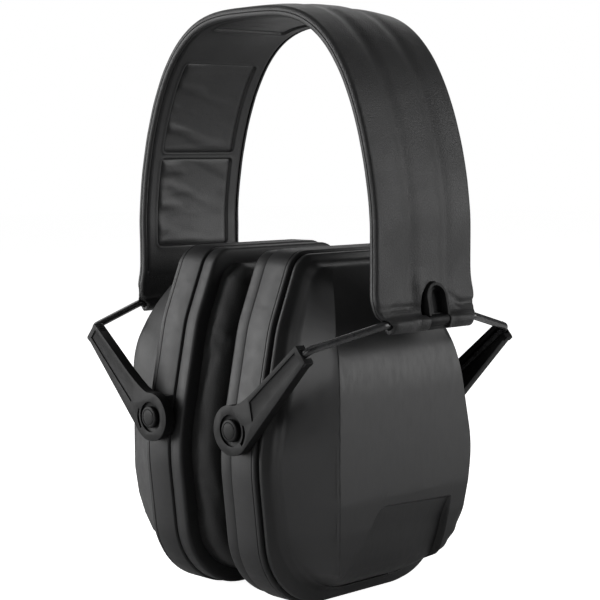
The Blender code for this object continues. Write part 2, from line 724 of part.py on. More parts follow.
def build_ring(name, side, parent):
    """Side wall of the cup, with a boss inside each pivot."""
    sections = (
        (RING_FRONT_X, RING_EDGE),
        (RING_FRONT_X + RING_EDGE, 0.0),
        (RING_BACK_X - RING_EDGE, 0.0),
        (RING_BACK_X, RING_EDGE),
        (RING_BACK_X, RING_INNER_INSET),
        (RING_FRONT_X, RING_INNER_INSET),
    )
    wall = cup_loft(sections, side, True)
    ring = make_object(f"cup_ring_{name}", wall, MATERIAL["moulded_plastic"], parent)
    pivot = side * PIVOT_X
    for end, reach in ENDS:
        near, far = sorted((reach * BOSS_INNER_Y, reach * BOSS_FACE_Y))
        low = (pivot - BOSS_HALF_X, near, PIVOT_Z - BOSS_HALF_Z)
        high = (pivot + BOSS_HALF_X, far, PIVOT_Z + BOSS_HALF_Z)
        add_boolean(ring, make_cutter(f"cut_boss_{end}_{name}", box(low, high), parent), "UNION")
        depth = sorted((reach * STUD_BORE_RUN[0], reach * STUD_BORE_RUN[1]))
        bore = rod((pivot, PIVOT_Z), STUD_SHANK + GAP, *depth, steps=20)
        add_boolean(ring, make_cutter(f"cut_stud_bore_{end}_{name}", bore, parent), "DIFFERENCE")


def edge_outline():
    """The dome's tight outer edge as rising heights and half widths."""
    widest = {}
    for y, z in cup_outline(EDGE_INSET, DOME_CORNERS):
        height = round(z, 3)
        widest[height] = max(widest.get(height, 0.0), y)
    heights = sorted(widest)
    return heights, [widest[z] for z in heights]


EDGE_HEIGHTS, EDGE_HALF_WIDTHS = edge_outline()


def panel_depth(z):
    """Depth of the panel at a height: flat in the middle, falling away toward the top and bottom edges."""
    up = min(1.0, max(0.0, (EDGE_HEIGHTS[-1] - z) / TOP_SLOPE_RUN))
    top = EDGE_X + (PANEL_X - EDGE_X) * (1 - (1 - up) ** 2)
    return min(PANEL_X, top, float(np.interp(z, *zip(*BOTTOM_SLOPE))))


def dome_x(y, z):
    """Depth of the dome: a panel between creases, with faces that run down to the tight outer edge."""
    edge = float(np.interp(z, EDGE_HEIGHTS, EDGE_HALF_WIDTHS))
    panel = panel_depth(z)
    front_width = edge - PANEL_CREASE_Y + PANEL_SLOPE * (PANEL_X - panel)
    width = max(front_width, LEAST_SLOPE_WIDTH) if y < 0 else REAR_SLOPE_WIDTH
    share = min(1.0, max(0.0, edge - abs(y)) / width)
    return EDGE_X + (panel - EDGE_X) * share


def under_dome(side, inset, depth, deepest):
    """A loop that follows the dome's surface at a depth under it."""
    outline = cup_outline(inset, DOME_CORNERS)
    return [(side * min(deepest, dome_x(y, z) - depth), y, z) for y, z in outline]


def dome_face(side):
    """Loops over the dome's surface, from its tight edge to the middle of the panel."""
    loops = [under_dome(side, inset, 0.0, PANEL_X) for inset in FACE_INSETS]
    rim = cup_outline(FACE_INSETS[-1], DOME_CORNERS)
    for share in FACE_SHARES:
        points = [[c + (v - c) * share for v, c in zip(point, FACE_CENTRE)] for point in rim]
        loops.append([(side * dome_x(y, z), y, z) for y, z in points])
    return loops


def build_shell(name, side, parent):
    """Hollow dome: a lip and a cove next to the ring, a panel between its creases and a sunk facet."""
    loops = [under_dome(side, inset, INSIDE_DEPTH, INSIDE_DEEPEST) for inset in INSIDE_INSETS]
    loops += cup_loops(((SHELL_FRONT_X, SHELL_INNER_INSET), *SHELL_LIP), side)
    loops += cup_loops((*SHELL_COVE, (EDGE_X, EDGE_INSET)), side, DOME_CORNERS)
    loops += dome_face(side)
    shell = make_object(f"cup_shell_{name}", loft(loops), MATERIAL["shell_plastic"], parent, 28.0)
    slope = (FACET_TOP_X - FACET_BOTTOM_X) / (FACET_TOP_Z - FACET_BOTTOM_Z)
    floor = [(side * (FACET_BOTTOM_X + (z - FACET_BOTTOM_Z) * slope), y, z) for y, z in FACET_OUTLINE]
    above = [(side * FACET_CLEAR_X, y, z) for y, z in FACET_OUTLINE]
    add_boolean(shell, make_cutter(f"cut_facet_{name}", loft([floor, above]), parent), "DIFFERENCE")


def build_acoustic_foam(name, side, parent):
    """Sound-absorbing foam block that fills the cup behind the ear opening."""
    loops = cup_loops(FOAM_BLOCK, side, DOME_CORNERS)
    loops.append(under_dome(side, FOAM_TOP_INSET, FOAM_TOP_DEPTH, FOAM_DEEPEST))
    foam = loft(loops)
    make_object(f"acoustic_foam_{name}", foam, MATERIAL["foam"], parent)


# ---------------------------------------------------------------- assembly


def build_headband():
    root = make_empty("headband_frame", (0.0, 0.0, 0.0))
    build_cover(root)
    build_liner(root)
    build_window_pads(root)
    build_inner_layers(root)
    for name, side in SIDES:
        build_end_bracket(name, side, root)
    return root


def build_side(name, side, root):
    """Everything that hangs on one end of the headband, on a chain of empties on the joint axes."""
    fold = make_empty(f"fold_axis_{name}", (side * FOLD_X, 0.0, FOLD_Z), root)
    build_yoke(name, side, fold)
    x, z = on_leg(ARM_TOP, 0.0, side)
    slide = make_empty(f"slide_axis_{name}", (x, 0.0, z), fold)
    swivel = make_empty(f"swivel_axis_{name}", (side * PIVOT_X, 0.0, PIVOT_Z), slide)
    for end, reach in ENDS:
        build_arm(name, side, end, reach, slide)
        build_stud(name, side, end, reach, swivel)
    for build in (build_cushion, build_plate, build_ring, build_acoustic_foam, build_shell):
        build(name, side, swivel)


clear_scene()
MATERIAL = {name: make_material(name) for name in MATERIALS}
HEADBAND = build_headband()
for side_name, side_sign in SIDES:
    build_side(side_name, side_sign, HEADBAND)
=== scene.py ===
"""Looks of the folding ear muffs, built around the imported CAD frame.

Lengths are in millimetres until a mesh is made (MM turns them into metres). X is the ear axis, -Y the front
and +Z up, as in the frame.
"""

import math

import bmesh
import bpy
import numpy as np
from mathutils import Matrix, Vector, noise


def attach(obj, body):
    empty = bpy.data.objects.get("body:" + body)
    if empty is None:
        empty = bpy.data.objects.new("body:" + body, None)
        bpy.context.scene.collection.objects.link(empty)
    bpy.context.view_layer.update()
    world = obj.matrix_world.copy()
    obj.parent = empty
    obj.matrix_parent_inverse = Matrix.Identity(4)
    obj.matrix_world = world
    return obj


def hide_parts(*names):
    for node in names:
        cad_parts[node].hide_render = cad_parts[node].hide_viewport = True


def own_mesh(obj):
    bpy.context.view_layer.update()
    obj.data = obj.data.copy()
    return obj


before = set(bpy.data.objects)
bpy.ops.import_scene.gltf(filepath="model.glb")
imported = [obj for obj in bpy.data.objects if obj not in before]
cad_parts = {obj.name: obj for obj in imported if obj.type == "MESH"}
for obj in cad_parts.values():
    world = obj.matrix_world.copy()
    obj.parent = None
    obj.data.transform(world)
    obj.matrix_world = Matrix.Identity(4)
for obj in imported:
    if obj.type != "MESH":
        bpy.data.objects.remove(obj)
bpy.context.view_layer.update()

MM = 0.001
SIDES = (("left", 1), ("right", -1))
ENDS = (("front", -1), ("rear", 1))
CUT, JOIN = "DIFFERENCE", "UNION"

# ---- dimensions, as in the CAD

FOLD_X, FOLD_Z = 57.5, 90.5
PIVOT_X, PIVOT_Z = 19.2, 58.0
REACH = math.hypot(FOLD_X - PIVOT_X, FOLD_Z - PIVOT_Z)
LEG_X, LEG_Z = (PIVOT_X - FOLD_X) / REACH, (PIVOT_Z - FOLD_Z) / REACH

BAND_HALF_SPAN, BAND_RISE, BAND_SPRING_LINE = 55.9, 68.9, 119.0
BAND_SIDE_POWER, BAND_CROWN_POWER = 0.61, 1.25
BAND_END_Z, BAND_FLARE, BAND_FLARE_START = 91.6, 2.1, 106.0
BAND_HALF_WIDTH, BAND_THICK = 22.0, 3.4
CROWN_BULGE, CROWN_PAD_END = 1.9, 46.0
VALLEYS, VALLEY_DEPTH, VALLEY_WIDTH = (-7.0, 9.2), 0.5, 2.6
HEM_RADIUS, HEM_HALF_LENGTH = 2.9, 18.6
WINDOW_HALF_WIDTH = 16.0
WINDOWS = {
    "pad_crown": (-24.0, 24.0),
    "pad_upper_left": (43.0, 77.0),
    "pad_upper_right": (-77.0, -43.0),
    "pad_lower_left": (79.3, 110.4),
    "pad_lower_right": (-110.4, -79.3),
}
LINER_END, LINER_HALF_WIDTH, LINER_BACK, LINER_WINDOW = 121.0, 20.3, 2.5, 2.72

CUP_CORNERS = ((27.0, 112.0, 9.0, 14), (36.6, 89.0, 40.0, 6), (44.9, 50.0, 60.0, 10), (39.4, 0.0, 25.0, 22))
DOME_CORNERS = ((27.0, 112.0, 9.0, 14), (36.0, 89.0, 40.0, 6), (44.8, 48.0, 50.0, 10), (37.4, 0.0, 31.0, 22))


# ---- mesh helpers


def skin(loops, closed=False, caps=True):
    """Vertices and faces of a surface through equally long closed loops."""
    count = len(loops[0])
    verts = [tuple(point) for loop in loops for point in loop]
    faces = []
    for i in range(len(loops) if closed else len(loops) - 1):
        here, there = i * count, (i + 1) % len(loops) * count
        for k in range(count):
            after = (k + 1) % count
            faces.append((here + k, here + after, there + after, there + k))
    if caps and not closed:
        faces.append(tuple(range(count)))
        faces.append(tuple(range(len(verts) - count, len(verts))))
    return verts, faces


def grid_skin(rows):
    """Vertices and faces of an open grid of points."""
    wide = len(rows[0])
    verts = [tuple(point) for row in rows for point in row]
    faces = []
    for i in range(len(rows) - 1):
        for k in range(wide - 1):
            a = i * wide + k
            faces.append((a, a + 1, a + wide + 1, a + wide))
    return verts, faces


def thick_grid(front, back):
    """A closed slab between two grids of points with the same layout."""
    verts, faces = grid_skin(front)
    behind, back_faces = grid_skin(back)
    tall, wide, half = len(front), len(front[0]), len(verts)
    verts = verts + behind
    faces = faces + [tuple(half + v for v in reversed(face)) for face in back_faces]
    rim = [k for k in range(wide)] + [i * wide + wide - 1 for i in range(1, tall)]
    rim += [(tall - 1) * wide + k for k in range(wide - 2, -1, -1)]
    rim += [i * wide for i in range(tall - 2, 0, -1)]
    for a, b in zip(rim, rim[1:] + rim[:1]):
        faces.append((a, half + a, half + b, b))
    return verts, faces


def new_object(name, data):
    obj = bpy.data.objects.new(name, data)
    bpy.context.scene.collection.objects.link(obj)
    return obj


def add_skin(made, data):
    """Adds vertices and faces to a bmesh and returns the new vertices."""
    points = [made.verts.new(p) for p in data[0]]
    for face in data[1]:
        made.faces.new([points[v] for v in face])
    return points


def to_mesh(name, data, sharp=40.0):
    """Makes an object from vertices and faces in millimetres."""
    made = bmesh.new()
    add_skin(made, data)
    return close_mesh(name, made, sharp)


def close_mesh(name, made, sharp, weld=False):
    """Makes an object from a bmesh in millimetres, with outward normals and smooth shading."""
    if weld:
        bmesh.ops.remove_doubles(made, verts=made.verts, dist=1e-4)
    bmesh.ops.recalc_face_normals(made, faces=made.faces)
    for vert in made.verts:
        vert.co = vert.co * MM
    mesh = bpy.data.meshes.new(name)
    made.to_mesh(mesh)
    made.free()
    shade(mesh, sharp)
    return new_object(name, mesh)


def shade(mesh, sharp):
    mesh.shade_smooth()
    mesh.set_sharp_from_angle(angle=math.radians(sharp))


def bake(obj, sharp=40.0):
    """Replaces an object's mesh with its modified one and clears the modifiers."""
    bpy.context.view_layer.update()
    depsgraph = bpy.context.evaluated_depsgraph_get()
    made = bpy.data.meshes.new_from_object(obj.evaluated_get(depsgraph))
    obj.modifiers.clear()
    obj.data = made
    shade(made, sharp)


def carve(obj, tools, sharp=40.0):
    """Applies (operation, vertices and faces) booleans in turn."""
    cutters = []
    for k, (operation, data) in enumerate(tools):
        cutter = to_mesh(f"{obj.name}_tool_{k}", data)
        modifier = obj.modifiers.new(f"cut_{k}", "BOOLEAN")
        modifier.operation = operation
        modifier.solver = "EXACT"
        modifier.object = cutter
        cutters.append(cutter)
    bake(obj, sharp)
    for cutter in cutters:
        bpy.data.objects.remove(cutter)


def round_edges(obj, width, angle, segments=2, sharp=40.0):
    modifier = obj.modifiers.new("rounded", "BEVEL")
    modifier.width = width * MM
    modifier.segments = segments
    modifier.angle_limit = math.radians(angle)
    bake(obj, sharp)


def refine(obj, sharp=60.0):
    """Bakes in one level of subdivision."""
    finer = obj.modifiers.new("finer", "SUBSURF")
    finer.levels = finer.render_levels = 1
    bake(obj, sharp)


def paint(obj, material):
    obj.data.materials.clear()
    obj.data.materials.append(MATERIAL[material])


def finish_piece(obj, material, body, node):
    """Gives a new piece its material and the body it rides on, and hides the CAD node it stands for."""
    paint(obj, material)
    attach(obj, body)
    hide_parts(node)


def prism(outline, low, high):
    """A closed outline of (x, z) points extruded along Y."""
    return skin([[(x, y, z) for x, z in outline] for y in (low, high)])


def circle(centre, radius, steps):
    turns = [math.tau * k / steps for k in range(steps)]
    return [(centre[0] + radius * math.cos(t), centre[1] + radius * math.sin(t)) for t in turns]


def rod(centre, radius, low, high, steps=40):
    return prism(circle(centre, radius, steps), low, high)


def turned(profile, centre, reach, steps=48):
    """Turns (radius, y) points about the Y axis through (x, z)."""
    return skin([[(x, reach * y, z) for x, z in circle(centre, r, steps)] for r, y in profile])


def span(reach, low, high):
    """Two distances from the centre plane as rising Y values, at the front or the rear end."""
    return sorted((reach * low, reach * high))


def spread(low, high, step):
    count = max(1, math.ceil((high - low) / step))
    return [low + (high - low) * k / count for k in range(count + 1)]


def ease(value, low, high):
    """0 below low, 1 above high and a smooth step between them."""
    t = min(1.0, max(0.0, (value - low) / (high - low)))
    return t * t * (3 - 2 * t)


def bump(value, centre, width):
    return math.exp(-(((value - centre) / width) ** 2))


def wobble(x, y, scale, seed=0.0):
    """Smooth noise from -1 to 1 with features about `scale` millimetres across."""
    return noise.noise(Vector((x / scale + seed, y / scale - seed, 3.1 * seed)))


def spline_value(a, b, c, d, t):
    """A coordinate a share t of the way from b to c, on a smooth curve that also passes a and d."""
    cubic = (3 * b - a - 3 * c + d) * t**3
    return 0.5 * (2 * b + (c - a) * t + (2 * a - 5 * b + 4 * c - d) * t * t + cubic)


def spline(points, steps):
    """A smooth curve through 2-D points, with `steps` pieces between each two."""
    ends = [tuple(2 * a - b for a, b in zip(points[0], points[1]))]
    tail = [tuple(2 * a - b for a, b in zip(points[-1], points[-2]))]
    p = ends + list(points) + tail
    made = []
    for k in range(1, len(p) - 2):
        near = list(zip(p[k - 1], p[k], p[k + 1], p[k + 2]))
        for step in range(steps):
            made.append(tuple(spline_value(*four, step / steps) for four in near))
    return made + [tuple(points[-1])]


# ---- headband


def trace_band():
    """The left half of the band's outer face, from the crown to the hem, with its running length."""
    quarter = math.pi / 2
    points = []
    for k in range(361):
        t = quarter * (1 - k / 360)
        x = BAND_HALF_SPAN * math.cos(t) ** BAND_SIDE_POWER
        points.append((x, BAND_SPRING_LINE + BAND_RISE * math.sin(t) ** BAND_CROWN_POWER))
    drop = BAND_SPRING_LINE - BAND_END_Z
    for k in range(1, 141):
        z = BAND_SPRING_LINE - drop * k / 140
        points.append((leg_x(z), z))
    lengths = [0.0]
    for a, b in zip(points, points[1:]):
        lengths.append(lengths[-1] + math.dist(a, b))
    return points, lengths


def leg_x(z):
    run = max(0.0, BAND_FLARE_START - z) / (BAND_FLARE_START - BAND_END_Z)
    return BAND_HALF_SPAN + BAND_FLARE * run * run


BAND_POINTS, BAND_LENGTHS = trace_band()
BAND_LENGTH = BAND_LENGTHS[-1]


def band_point(distance, y, depth):
    """A point a distance along the band from the crown (+ to the left), a depth under its outer face."""
    side = 1 if distance >= 0 else -1
    run = min(abs(distance), BAND_LENGTH - 1e-6)
    k = int(np.searchsorted(BAND_LENGTHS, run, side="right")) - 1
    (x0, z0), (x1, z1) = BAND_POINTS[k], BAND_POINTS[k + 1]
    long = math.hypot(x1 - x0, z1 - z0)
    share = (run - BAND_LENGTHS[k]) / long
    nx, nz = (z0 - z1) / long, (x1 - x0) / long
    return side * (x0 + share * (x1 - x0) - nx * depth), y, z0 + share * (z1 - z0) - nz * depth


def crown_bulge(distance, y):
    if abs(distance) >= CROWN_PAD_END:
        return 0.0
    along = math.cos(math.pi / 2 * distance / CROWN_PAD_END) ** 2
    return CROWN_BULGE * along * max(0.0, 1 - (y / BAND_HALF_WIDTH) ** 2)


def cover_face(distance, y):
    """Depth of the cover's outer face: three soft lobes, the crown's padding and a little slack."""
    valleys = sum(bump(y, v, VALLEY_WIDTH) for v in VALLEYS)
    slack = 0.16 * wobble(distance, y, 13.0) + 0.05 * wobble(distance, y, 4.0, 7.0)
    fade = 1 - ease(abs(y), 18.5, 21.5)
    return 0.12 + (VALLEY_DEPTH * valleys + slack) * fade - crown_bulge(distance, y)


COVER_WALL, COVER_BORE, COVER_LIP_Y = 0.9, 1.62, 20.75
CORNER_START_Z, CORNER_RUN = 96.5, 6.4
HOLLOW_END_Z = 101.5
BULGE_Z = 98.0
ABOVE_FLARE = 200.0


def cover_section(distance, z, closing):
    """The cover's C-shaped section as (y, depth); closing fills its hollow toward the hem."""
    edge = BAND_HALF_WIDTH + 0.12 * wobble(distance, 0.0, 9.0, 2.0)
    if z < BAND_FLARE_START:
        edge += 0.55 * bump(z, BULGE_Z, 3.4)
    across = [-21.2, -20.4, *spread(-19.4, 19.4, 0.9), 20.4, 21.2]
    outer = [(-edge, 1.25), (-edge + 0.12, 0.72), (-edge + 0.4, 0.36)]
    outer += [(y, cover_face(distance, y)) for y in across]
    outer += [(edge - 0.4, 0.36), (edge - 0.12, 0.72), (edge, 1.25)]
    piping = [(edge + 0.02, 1.6), (edge - 0.28, 1.78), (edge + 0.02, 1.96), (edge + 0.04, 2.45)]
    piping += [(edge - 0.1, 2.9), (edge - 0.45, 3.28), (edge - 0.9, BAND_THICK)]
    lip = COVER_LIP_Y
    floor = COVER_WALL + (BAND_THICK - 0.06 - COVER_WALL) * closing
    hollow = [(lip, BAND_THICK - 0.02), (lip, floor)]
    hollow += [(y, floor - crown_bulge(distance, y)) for y in (14.0, 5.0, -5.0, -14.0)]
    hollow += [(-lip, floor), (-lip, BAND_THICK - 0.02)]
    return outer + piping + hollow + [(-y, d) for y, d in reversed(piping)]


def end_slice(side, z):
    """A level slice through the band's end: corners round off and the skin swells round the wire."""
    round_off = ease(CORNER_START_Z - z, 0.0, CORNER_RUN)
    drawn_in = 1 - math.sqrt(max(0.0, 1 - round_off**2))
    half = BAND_HALF_WIDTH - (BAND_HALF_WIDTH - HEM_HALF_LENGTH) * drawn_in
    swell = 0.15
    if abs(z - FOLD_Z) < HEM_RADIUS:
        swell = math.sqrt(max(0.02, HEM_RADIUS**2 - (z - FOLD_Z) ** 2))
    on_hem = 1 - ease(z, FOLD_Z + 0.6, FOLD_Z + 2.6)
    face_x = leg_x(max(z, BAND_END_Z))
    outer_x = face_x * (1 - on_hem) + (FOLD_X + swell) * on_hem
    inner_x = (face_x - BAND_THICK) * (1 - on_hem) + (FOLD_X - swell) * on_hem
    thick = outer_x - inner_x
    distance = side * (BAND_LENGTH + BAND_END_Z - z)
    loop = []
    for y, depth in cover_section(distance, z, 1 - ease(z, HOLLOW_END_Z, HOLLOW_END_Z + 2.0)):
        run = abs(y) / BAND_HALF_WIDTH
        moved = y * (1 - (1 - half / BAND_HALF_WIDTH) * run**2)
        sunk = depth * thick / BAND_THICK + end_crease(side, moved, z) * (1 - ease(depth, 0.6, 1.4))
        ends = ease(abs(moved), HEM_HALF_LENGTH - 1.2, HEM_HALF_LENGTH + 0.8) * on_hem
        middle = (outer_x + inner_x) / 2
        x = outer_x - sunk
        loop.append((side * (x + (middle - x) * 0.35 * ends), moved, z))
    return loop


def end_crease(side, y, z):
    """How deep the outer skin sinks beside the hem and puckers round the bracket at one end."""
    hem_line = 0.9 * bump(z, 94.9, 1.1) * (0.35 + 0.65 * abs(math.sin(y * 0.21 + 0.6 * side)))
    hem_line *= 1 - bump(y, 2.6, 5.2)
    pucker = 0.5 * bump(z - 96.5 + 0.55 * (y - 12.5), 0.0, 1.2) * bump(y, 13.5, 4.5)
    pucker += 0.3 * bump(z - 96.0 - 0.35 * (y + 14.0), 0.0, 0.9) * bump(y, -15.5, 3.0)
    lifted = -1.0 * bump(math.hypot(y + 3.0, (z - 98.6) * 0.6), 0.0, 3.4)
    return hem_line + pucker + lifted * ease(z, 92.5, 95.0)


ARCH_CENTRE = 2.6


def arch_loop(side, x, half_width, low, high, centre=ARCH_CENTRE, steps=20, lean=0.0):
    """An upright slot with a round top, in the YZ plane, leaning toward the centre plane as it rises."""
    crown = high - half_width
    turns = [math.pi * k / steps for k in range(steps + 1)]
    outline = [(centre + half_width, z) for z in spread(low, crown, 2.0)[:-1]]
    outline += [(centre + half_width * math.cos(t), crown + half_width * math.sin(t)) for t in turns]
    outline += [(centre - half_width, z) for z in reversed(spread(low, crown, 2.0)[:-1])]
    return [(side * (x - lean * (z - 87.4) / 14.6), y, z) for y, z in outline]


def build_cover():
    """Leatherette skin of the whole band, with its padded crown, piped edges and rolled hems."""
    drop = BAND_FLARE_START - 88.0
    levels = [BAND_FLARE_START - drop * (k / 34) for k in range(1, 35)] + [87.8, 87.66]
    last = BAND_LENGTH - (BAND_FLARE_START - BAND_END_Z) - 0.3
    loops = [end_slice(-1, z) for z in reversed(levels)]
    for s in spread(-last, last, 1.25):
        loops.append([band_point(s, y, d) for y, d in cover_section(s, ABOVE_FLARE, 0.0)])
    loops += [end_slice(1, z) for z in levels]
    cover = to_mesh("band_cover", skin(loops))
    tools = []
    for _, side in SIDES:
        slot = [arch_loop(side, x, 4.95, 82.0, 102.4) for x in (50.0, 66.0)]
        lifted = [arch_loop(side, x, 5.0, 92.4, 101.4, centre=1.2) for x in (55.3, 66.0)]
        bore = rod((side * FOLD_X, FOLD_Z), COVER_BORE, -25.0, 25.0)
        tools += [(CUT, skin(slot)), (CUT, bore), (CUT, skin(lifted))]
    carve(cover, tools, 50.0)
    finish_piece(cover, "leatherette", "headband", "headband_cover")


FAR_OUTSIDE = -9.0
WINDOW_CORNER = 1.6


def window_depth(distance, y):
    """How far inside the nearest window opening a point of the liner lies, with rounded corners."""
    best = FAR_OUTSIDE
    for low, high in WINDOWS.values():
        along = min(distance - low, high - distance)
        across = WINDOW_HALF_WIDTH - abs(y)
        if along < WINDOW_CORNER and across < WINDOW_CORNER:
            inside = WINDOW_CORNER - math.hypot(WINDOW_CORNER - along, WINDOW_CORNER - across)
        else:
            inside = min(along, across)
        best = max(best, inside)
    return best


BORDER_STEPS = (-0.7, -0.35, -0.1, 0.1, 0.35, 0.7, 1.1, 1.6)


def liner_depth(distance, y):
    """Depth of the liner's face, which stands proud round each window and is sunk inside it."""
    inside = window_depth(distance, y)
    rim = 0.16 * bump(inside, -0.55, 0.45) + 0.07 * wobble(distance, y, 11.0, 4.0)
    edge = ease(abs(y), LINER_HALF_WIDTH - 0.6, LINER_HALF_WIDTH)
    edge += ease(abs(distance), LINER_END - 0.6, LINER_END)
    depth = BAND_THICK + 0.04 + rim - 0.3 * min(1.0, edge)
    return depth + (LINER_WINDOW - depth) * ease(inside, -0.12, 0.3)


def build_liner():
    """Inner vinyl frame with five pressed windows, its points crowded at their borders."""
    edges = [e for pair in WINDOWS.values() for e in pair]
    lengths = set(round(s, 3) for s in spread(-LINER_END, LINER_END, 1.5))
    for e in edges:
        lengths.update(round(e + k, 3) for k in BORDER_STEPS)
    widths = set(round(w, 3) for w in spread(-LINER_HALF_WIDTH, LINER_HALF_WIDTH, 1.4))
    for e in (-WINDOW_HALF_WIDTH, WINDOW_HALF_WIDTH):
        widths.update(round(e - k, 3) for k in BORDER_STEPS)
    widths.update((-20.1, -19.8, 19.8, 20.1))
    front = [[band_point(s, y, liner_depth(s, y)) for y in sorted(widths)] for s in sorted(lengths)]
    back = [[band_point(s, y, LINER_BACK) for y in sorted(widths)] for s in sorted(lengths)]
    liner = to_mesh("band_liner", thick_grid(front, back), 50.0)
    finish_piece(liner, "liner_vinyl", "headband", "headband_liner")


# ---- cloth

SIM_SCALE = 0.01
SIM_FRAMES = 24


def sim_object(name, verts, faces, pinned, rest=None, **settings):
    """A cloth object at ten times the real size, with some points held and perhaps a larger rest shape."""
    mesh = bpy.data.meshes.new(name)
    mesh.from_pydata([tuple(c * SIM_SCALE for c in v) for v in verts], [], faces)
    obj = new_object(name, mesh)
    group = obj.vertex_groups.new(name="held")
    group.add([k for k, held in enumerate(pinned) if held], 1.0, "REPLACE")
    modifier = obj.modifiers.new("cloth", "CLOTH")
    cloth = modifier.settings
    cloth.vertex_group_mass = "held"
    cloth.effector_weights.gravity = 0.0
    cloth.quality = 6
    cloth.mass = 0.3
    cloth.tension_stiffness = cloth.compression_stiffness = 15.0
    cloth.shear_stiffness = 5.0
    cloth.air_damping = 2.0
    for key, value in settings.items():
        setattr(cloth, key, value)
    if rest is not None:
        obj.shape_key_add(name="Basis")
        larger = obj.shape_key_add(name="larger")
        for point, place in zip(larger.data, rest):
            point.co = Vector(place) * SIM_SCALE
        cloth.rest_shape_key = larger
    modifier.point_cache.frame_start = 1
    modifier.point_cache.frame_end = SIM_FRAMES
    modifier.collision_settings.use_collision = False
    return obj


def run_cloth(objects):
    """Steps every cloth together and returns each one's points in millimetres."""
    scene = bpy.context.scene
    scene.frame_start, scene.frame_end = 1, SIM_FRAMES
    for step in range(1, SIM_FRAMES + 1):
        scene.frame_set(step)
    made = []
    depsgraph = bpy.context.evaluated_depsgraph_get()
    for obj in objects:
        moved = obj.evaluated_get(depsgraph).to_mesh()
        points = np.zeros(len(moved.vertices) * 3)
        moved.vertices.foreach_get("co", points)
        made.append(points.reshape(-1, 3) / SIM_SCALE)
        obj.evaluated_get(depsgraph).to_mesh_clear()
    for obj in objects:
        bpy.data.objects.remove(obj)
    scene.frame_set(1)
    return made


# ---- pads in the liner's windows

PAD_STEP, PAD_GAP, PAD_BACK, PAD_FLOOR = 0.85, 0.35, 2.6, 2.78
PAD_HALF = WINDOW_HALF_WIDTH - PAD_GAP
PAD_REST = {"pad_crown": (1.075, 1.03), "upper": (1.045, 1.02), "lower": (1.04, 1.03)}


def pad_layout(name):
    low, high = WINDOWS[name]
    return spread(low + PAD_GAP, high - PAD_GAP, PAD_STEP), spread(-PAD_HALF, PAD_HALF, PAD_STEP)


def pad_cloth(name, number):
    """A sheet a little larger than its window, held at the welded border, so that it buckles into folds."""
    lengths, widths = pad_layout(name)
    rows = []
    for s in lengths:
        rows.append([(s, y, 0.3 + 0.25 * wobble(s * 0.6 + y * 0.35, y, 9.0, number)) for y in widths])
    verts, faces = grid_skin(rows)
    wide = len(widths)
    borders = (0, len(lengths) - 1), (0, wide - 1)
    held = [i in borders[0] or k in borders[1] for i in range(len(lengths)) for k in range(wide)]
    verts = [(x, y, 0.0 if pin else z) for (x, y, z), pin in zip(verts, held)]
    grow_s, grow_y = PAD_REST["pad_crown" if name == "pad_crown" else name.split("_")[1]]
    centre = (lengths[0] + lengths[-1]) / 2
    rest = [(centre + (x - centre) * grow_s, y * grow_y, z) for x, y, z in verts]
    settings = dict(use_pressure=True, uniform_pressure_force=0.35, bending_stiffness=0.35)
    return sim_object(f"sim_{name}", verts, faces, held, rest, **settings)


def pad_fold(s, y, number):
    """Pulled folds that start at the front border of a window and fade across it."""
    across = 0.35 + 0.65 * ease(-y, -10.0, 14.0)
    broad = 0.5 * wobble(s + y * 0.3, y * 0.22, 5.0, number)
    return across * (broad + 0.2 * wobble(s, y * 0.3, 2.6, number))


def pad_point(s, y, cloth, lengths, number):
    """A point of a pad's face: its place on the cloth, eased to the plain sheet at the border."""
    px, py, pz = (float(v) for v in cloth)
    edge = min(s - lengths[0], lengths[-1] - s, PAD_HALF - abs(y))
    height = 0.25 + 0.25 * min(1.2, pz) + pad_fold(s, y, number)
    height = max(0.06, min(1.3, height)) * ease(edge, -0.3, 1.6)
    shift = ease(edge, 0.0, 2.0)
    return band_point(s + (px - s) * shift, y + (py - y) * shift, PAD_FLOOR + height)


def build_pads():
    names = list(WINDOWS)
    shapes = run_cloth([pad_cloth(name, k + 1) for k, name in enumerate(names)])
    for number, (name, points) in enumerate(zip(names, shapes)):
        lengths, widths = pad_layout(name)
        front, back = [], []
        for i, s in enumerate(lengths):
            row = zip(widths, points[i * len(widths) :])
            front.append([pad_point(s, y, cloth, lengths, number) for y, cloth in row])
            back.append([band_point(s, y, PAD_BACK) for y in widths])
        pad = to_mesh(name.replace("pad_", "quilted_pad_"), thick_grid(front, back), 60.0)
        refine(pad)
        finish_piece(pad, "pad_vinyl", "headband", name)


# ---- end brackets, wire yokes, arms and studs


def build_bracket(name, side):
    """Arched rib that holds the wire: a thin raised rim round a recess that is open at the bottom."""
    half, low, high, lean = 4.75, 87.7, 102.1, 2.8
    body = [arch_loop(side, 54.7, half, low, high, steps=32)]
    body.append(arch_loop(side, 60.3, half, low, high, steps=32, lean=lean))
    bracket = to_mesh(f"hem_bracket_{name}", skin(body))
    recess = [arch_loop(side, x, 3.85, 85.0, high - 0.9, steps=32, lean=lean) for x in (58.4, 64.0)]
    deeper = [arch_loop(side, x, 2.1, 92.6, high - 2.2, centre=4.1, lean=lean) for x in (57.3, 59.0)]
    opening = [(side * x, z) for x, z in ((57.9, 85.0), (64.0, 85.0), (64.0, 92.2), (57.9, 92.2))]
    wire = (side * FOLD_X, FOLD_Z)
    tools = [
        (CUT, skin(recess)),
        (CUT, skin(deeper)),
        (CUT, prism(opening, -9.0, 9.0)),
        (JOIN, rod(wire, 1.85, ARCH_CENTRE - half, ARCH_CENTRE + half)),
        (CUT, rod(wire, 1.5, -12.0, 12.0)),
    ]
    carve(bracket, tools)
    round_edges(bracket, 0.35, 40.0)
    finish_piece(bracket, "moulded_plastic", "headband", f"end_bracket_{name}")


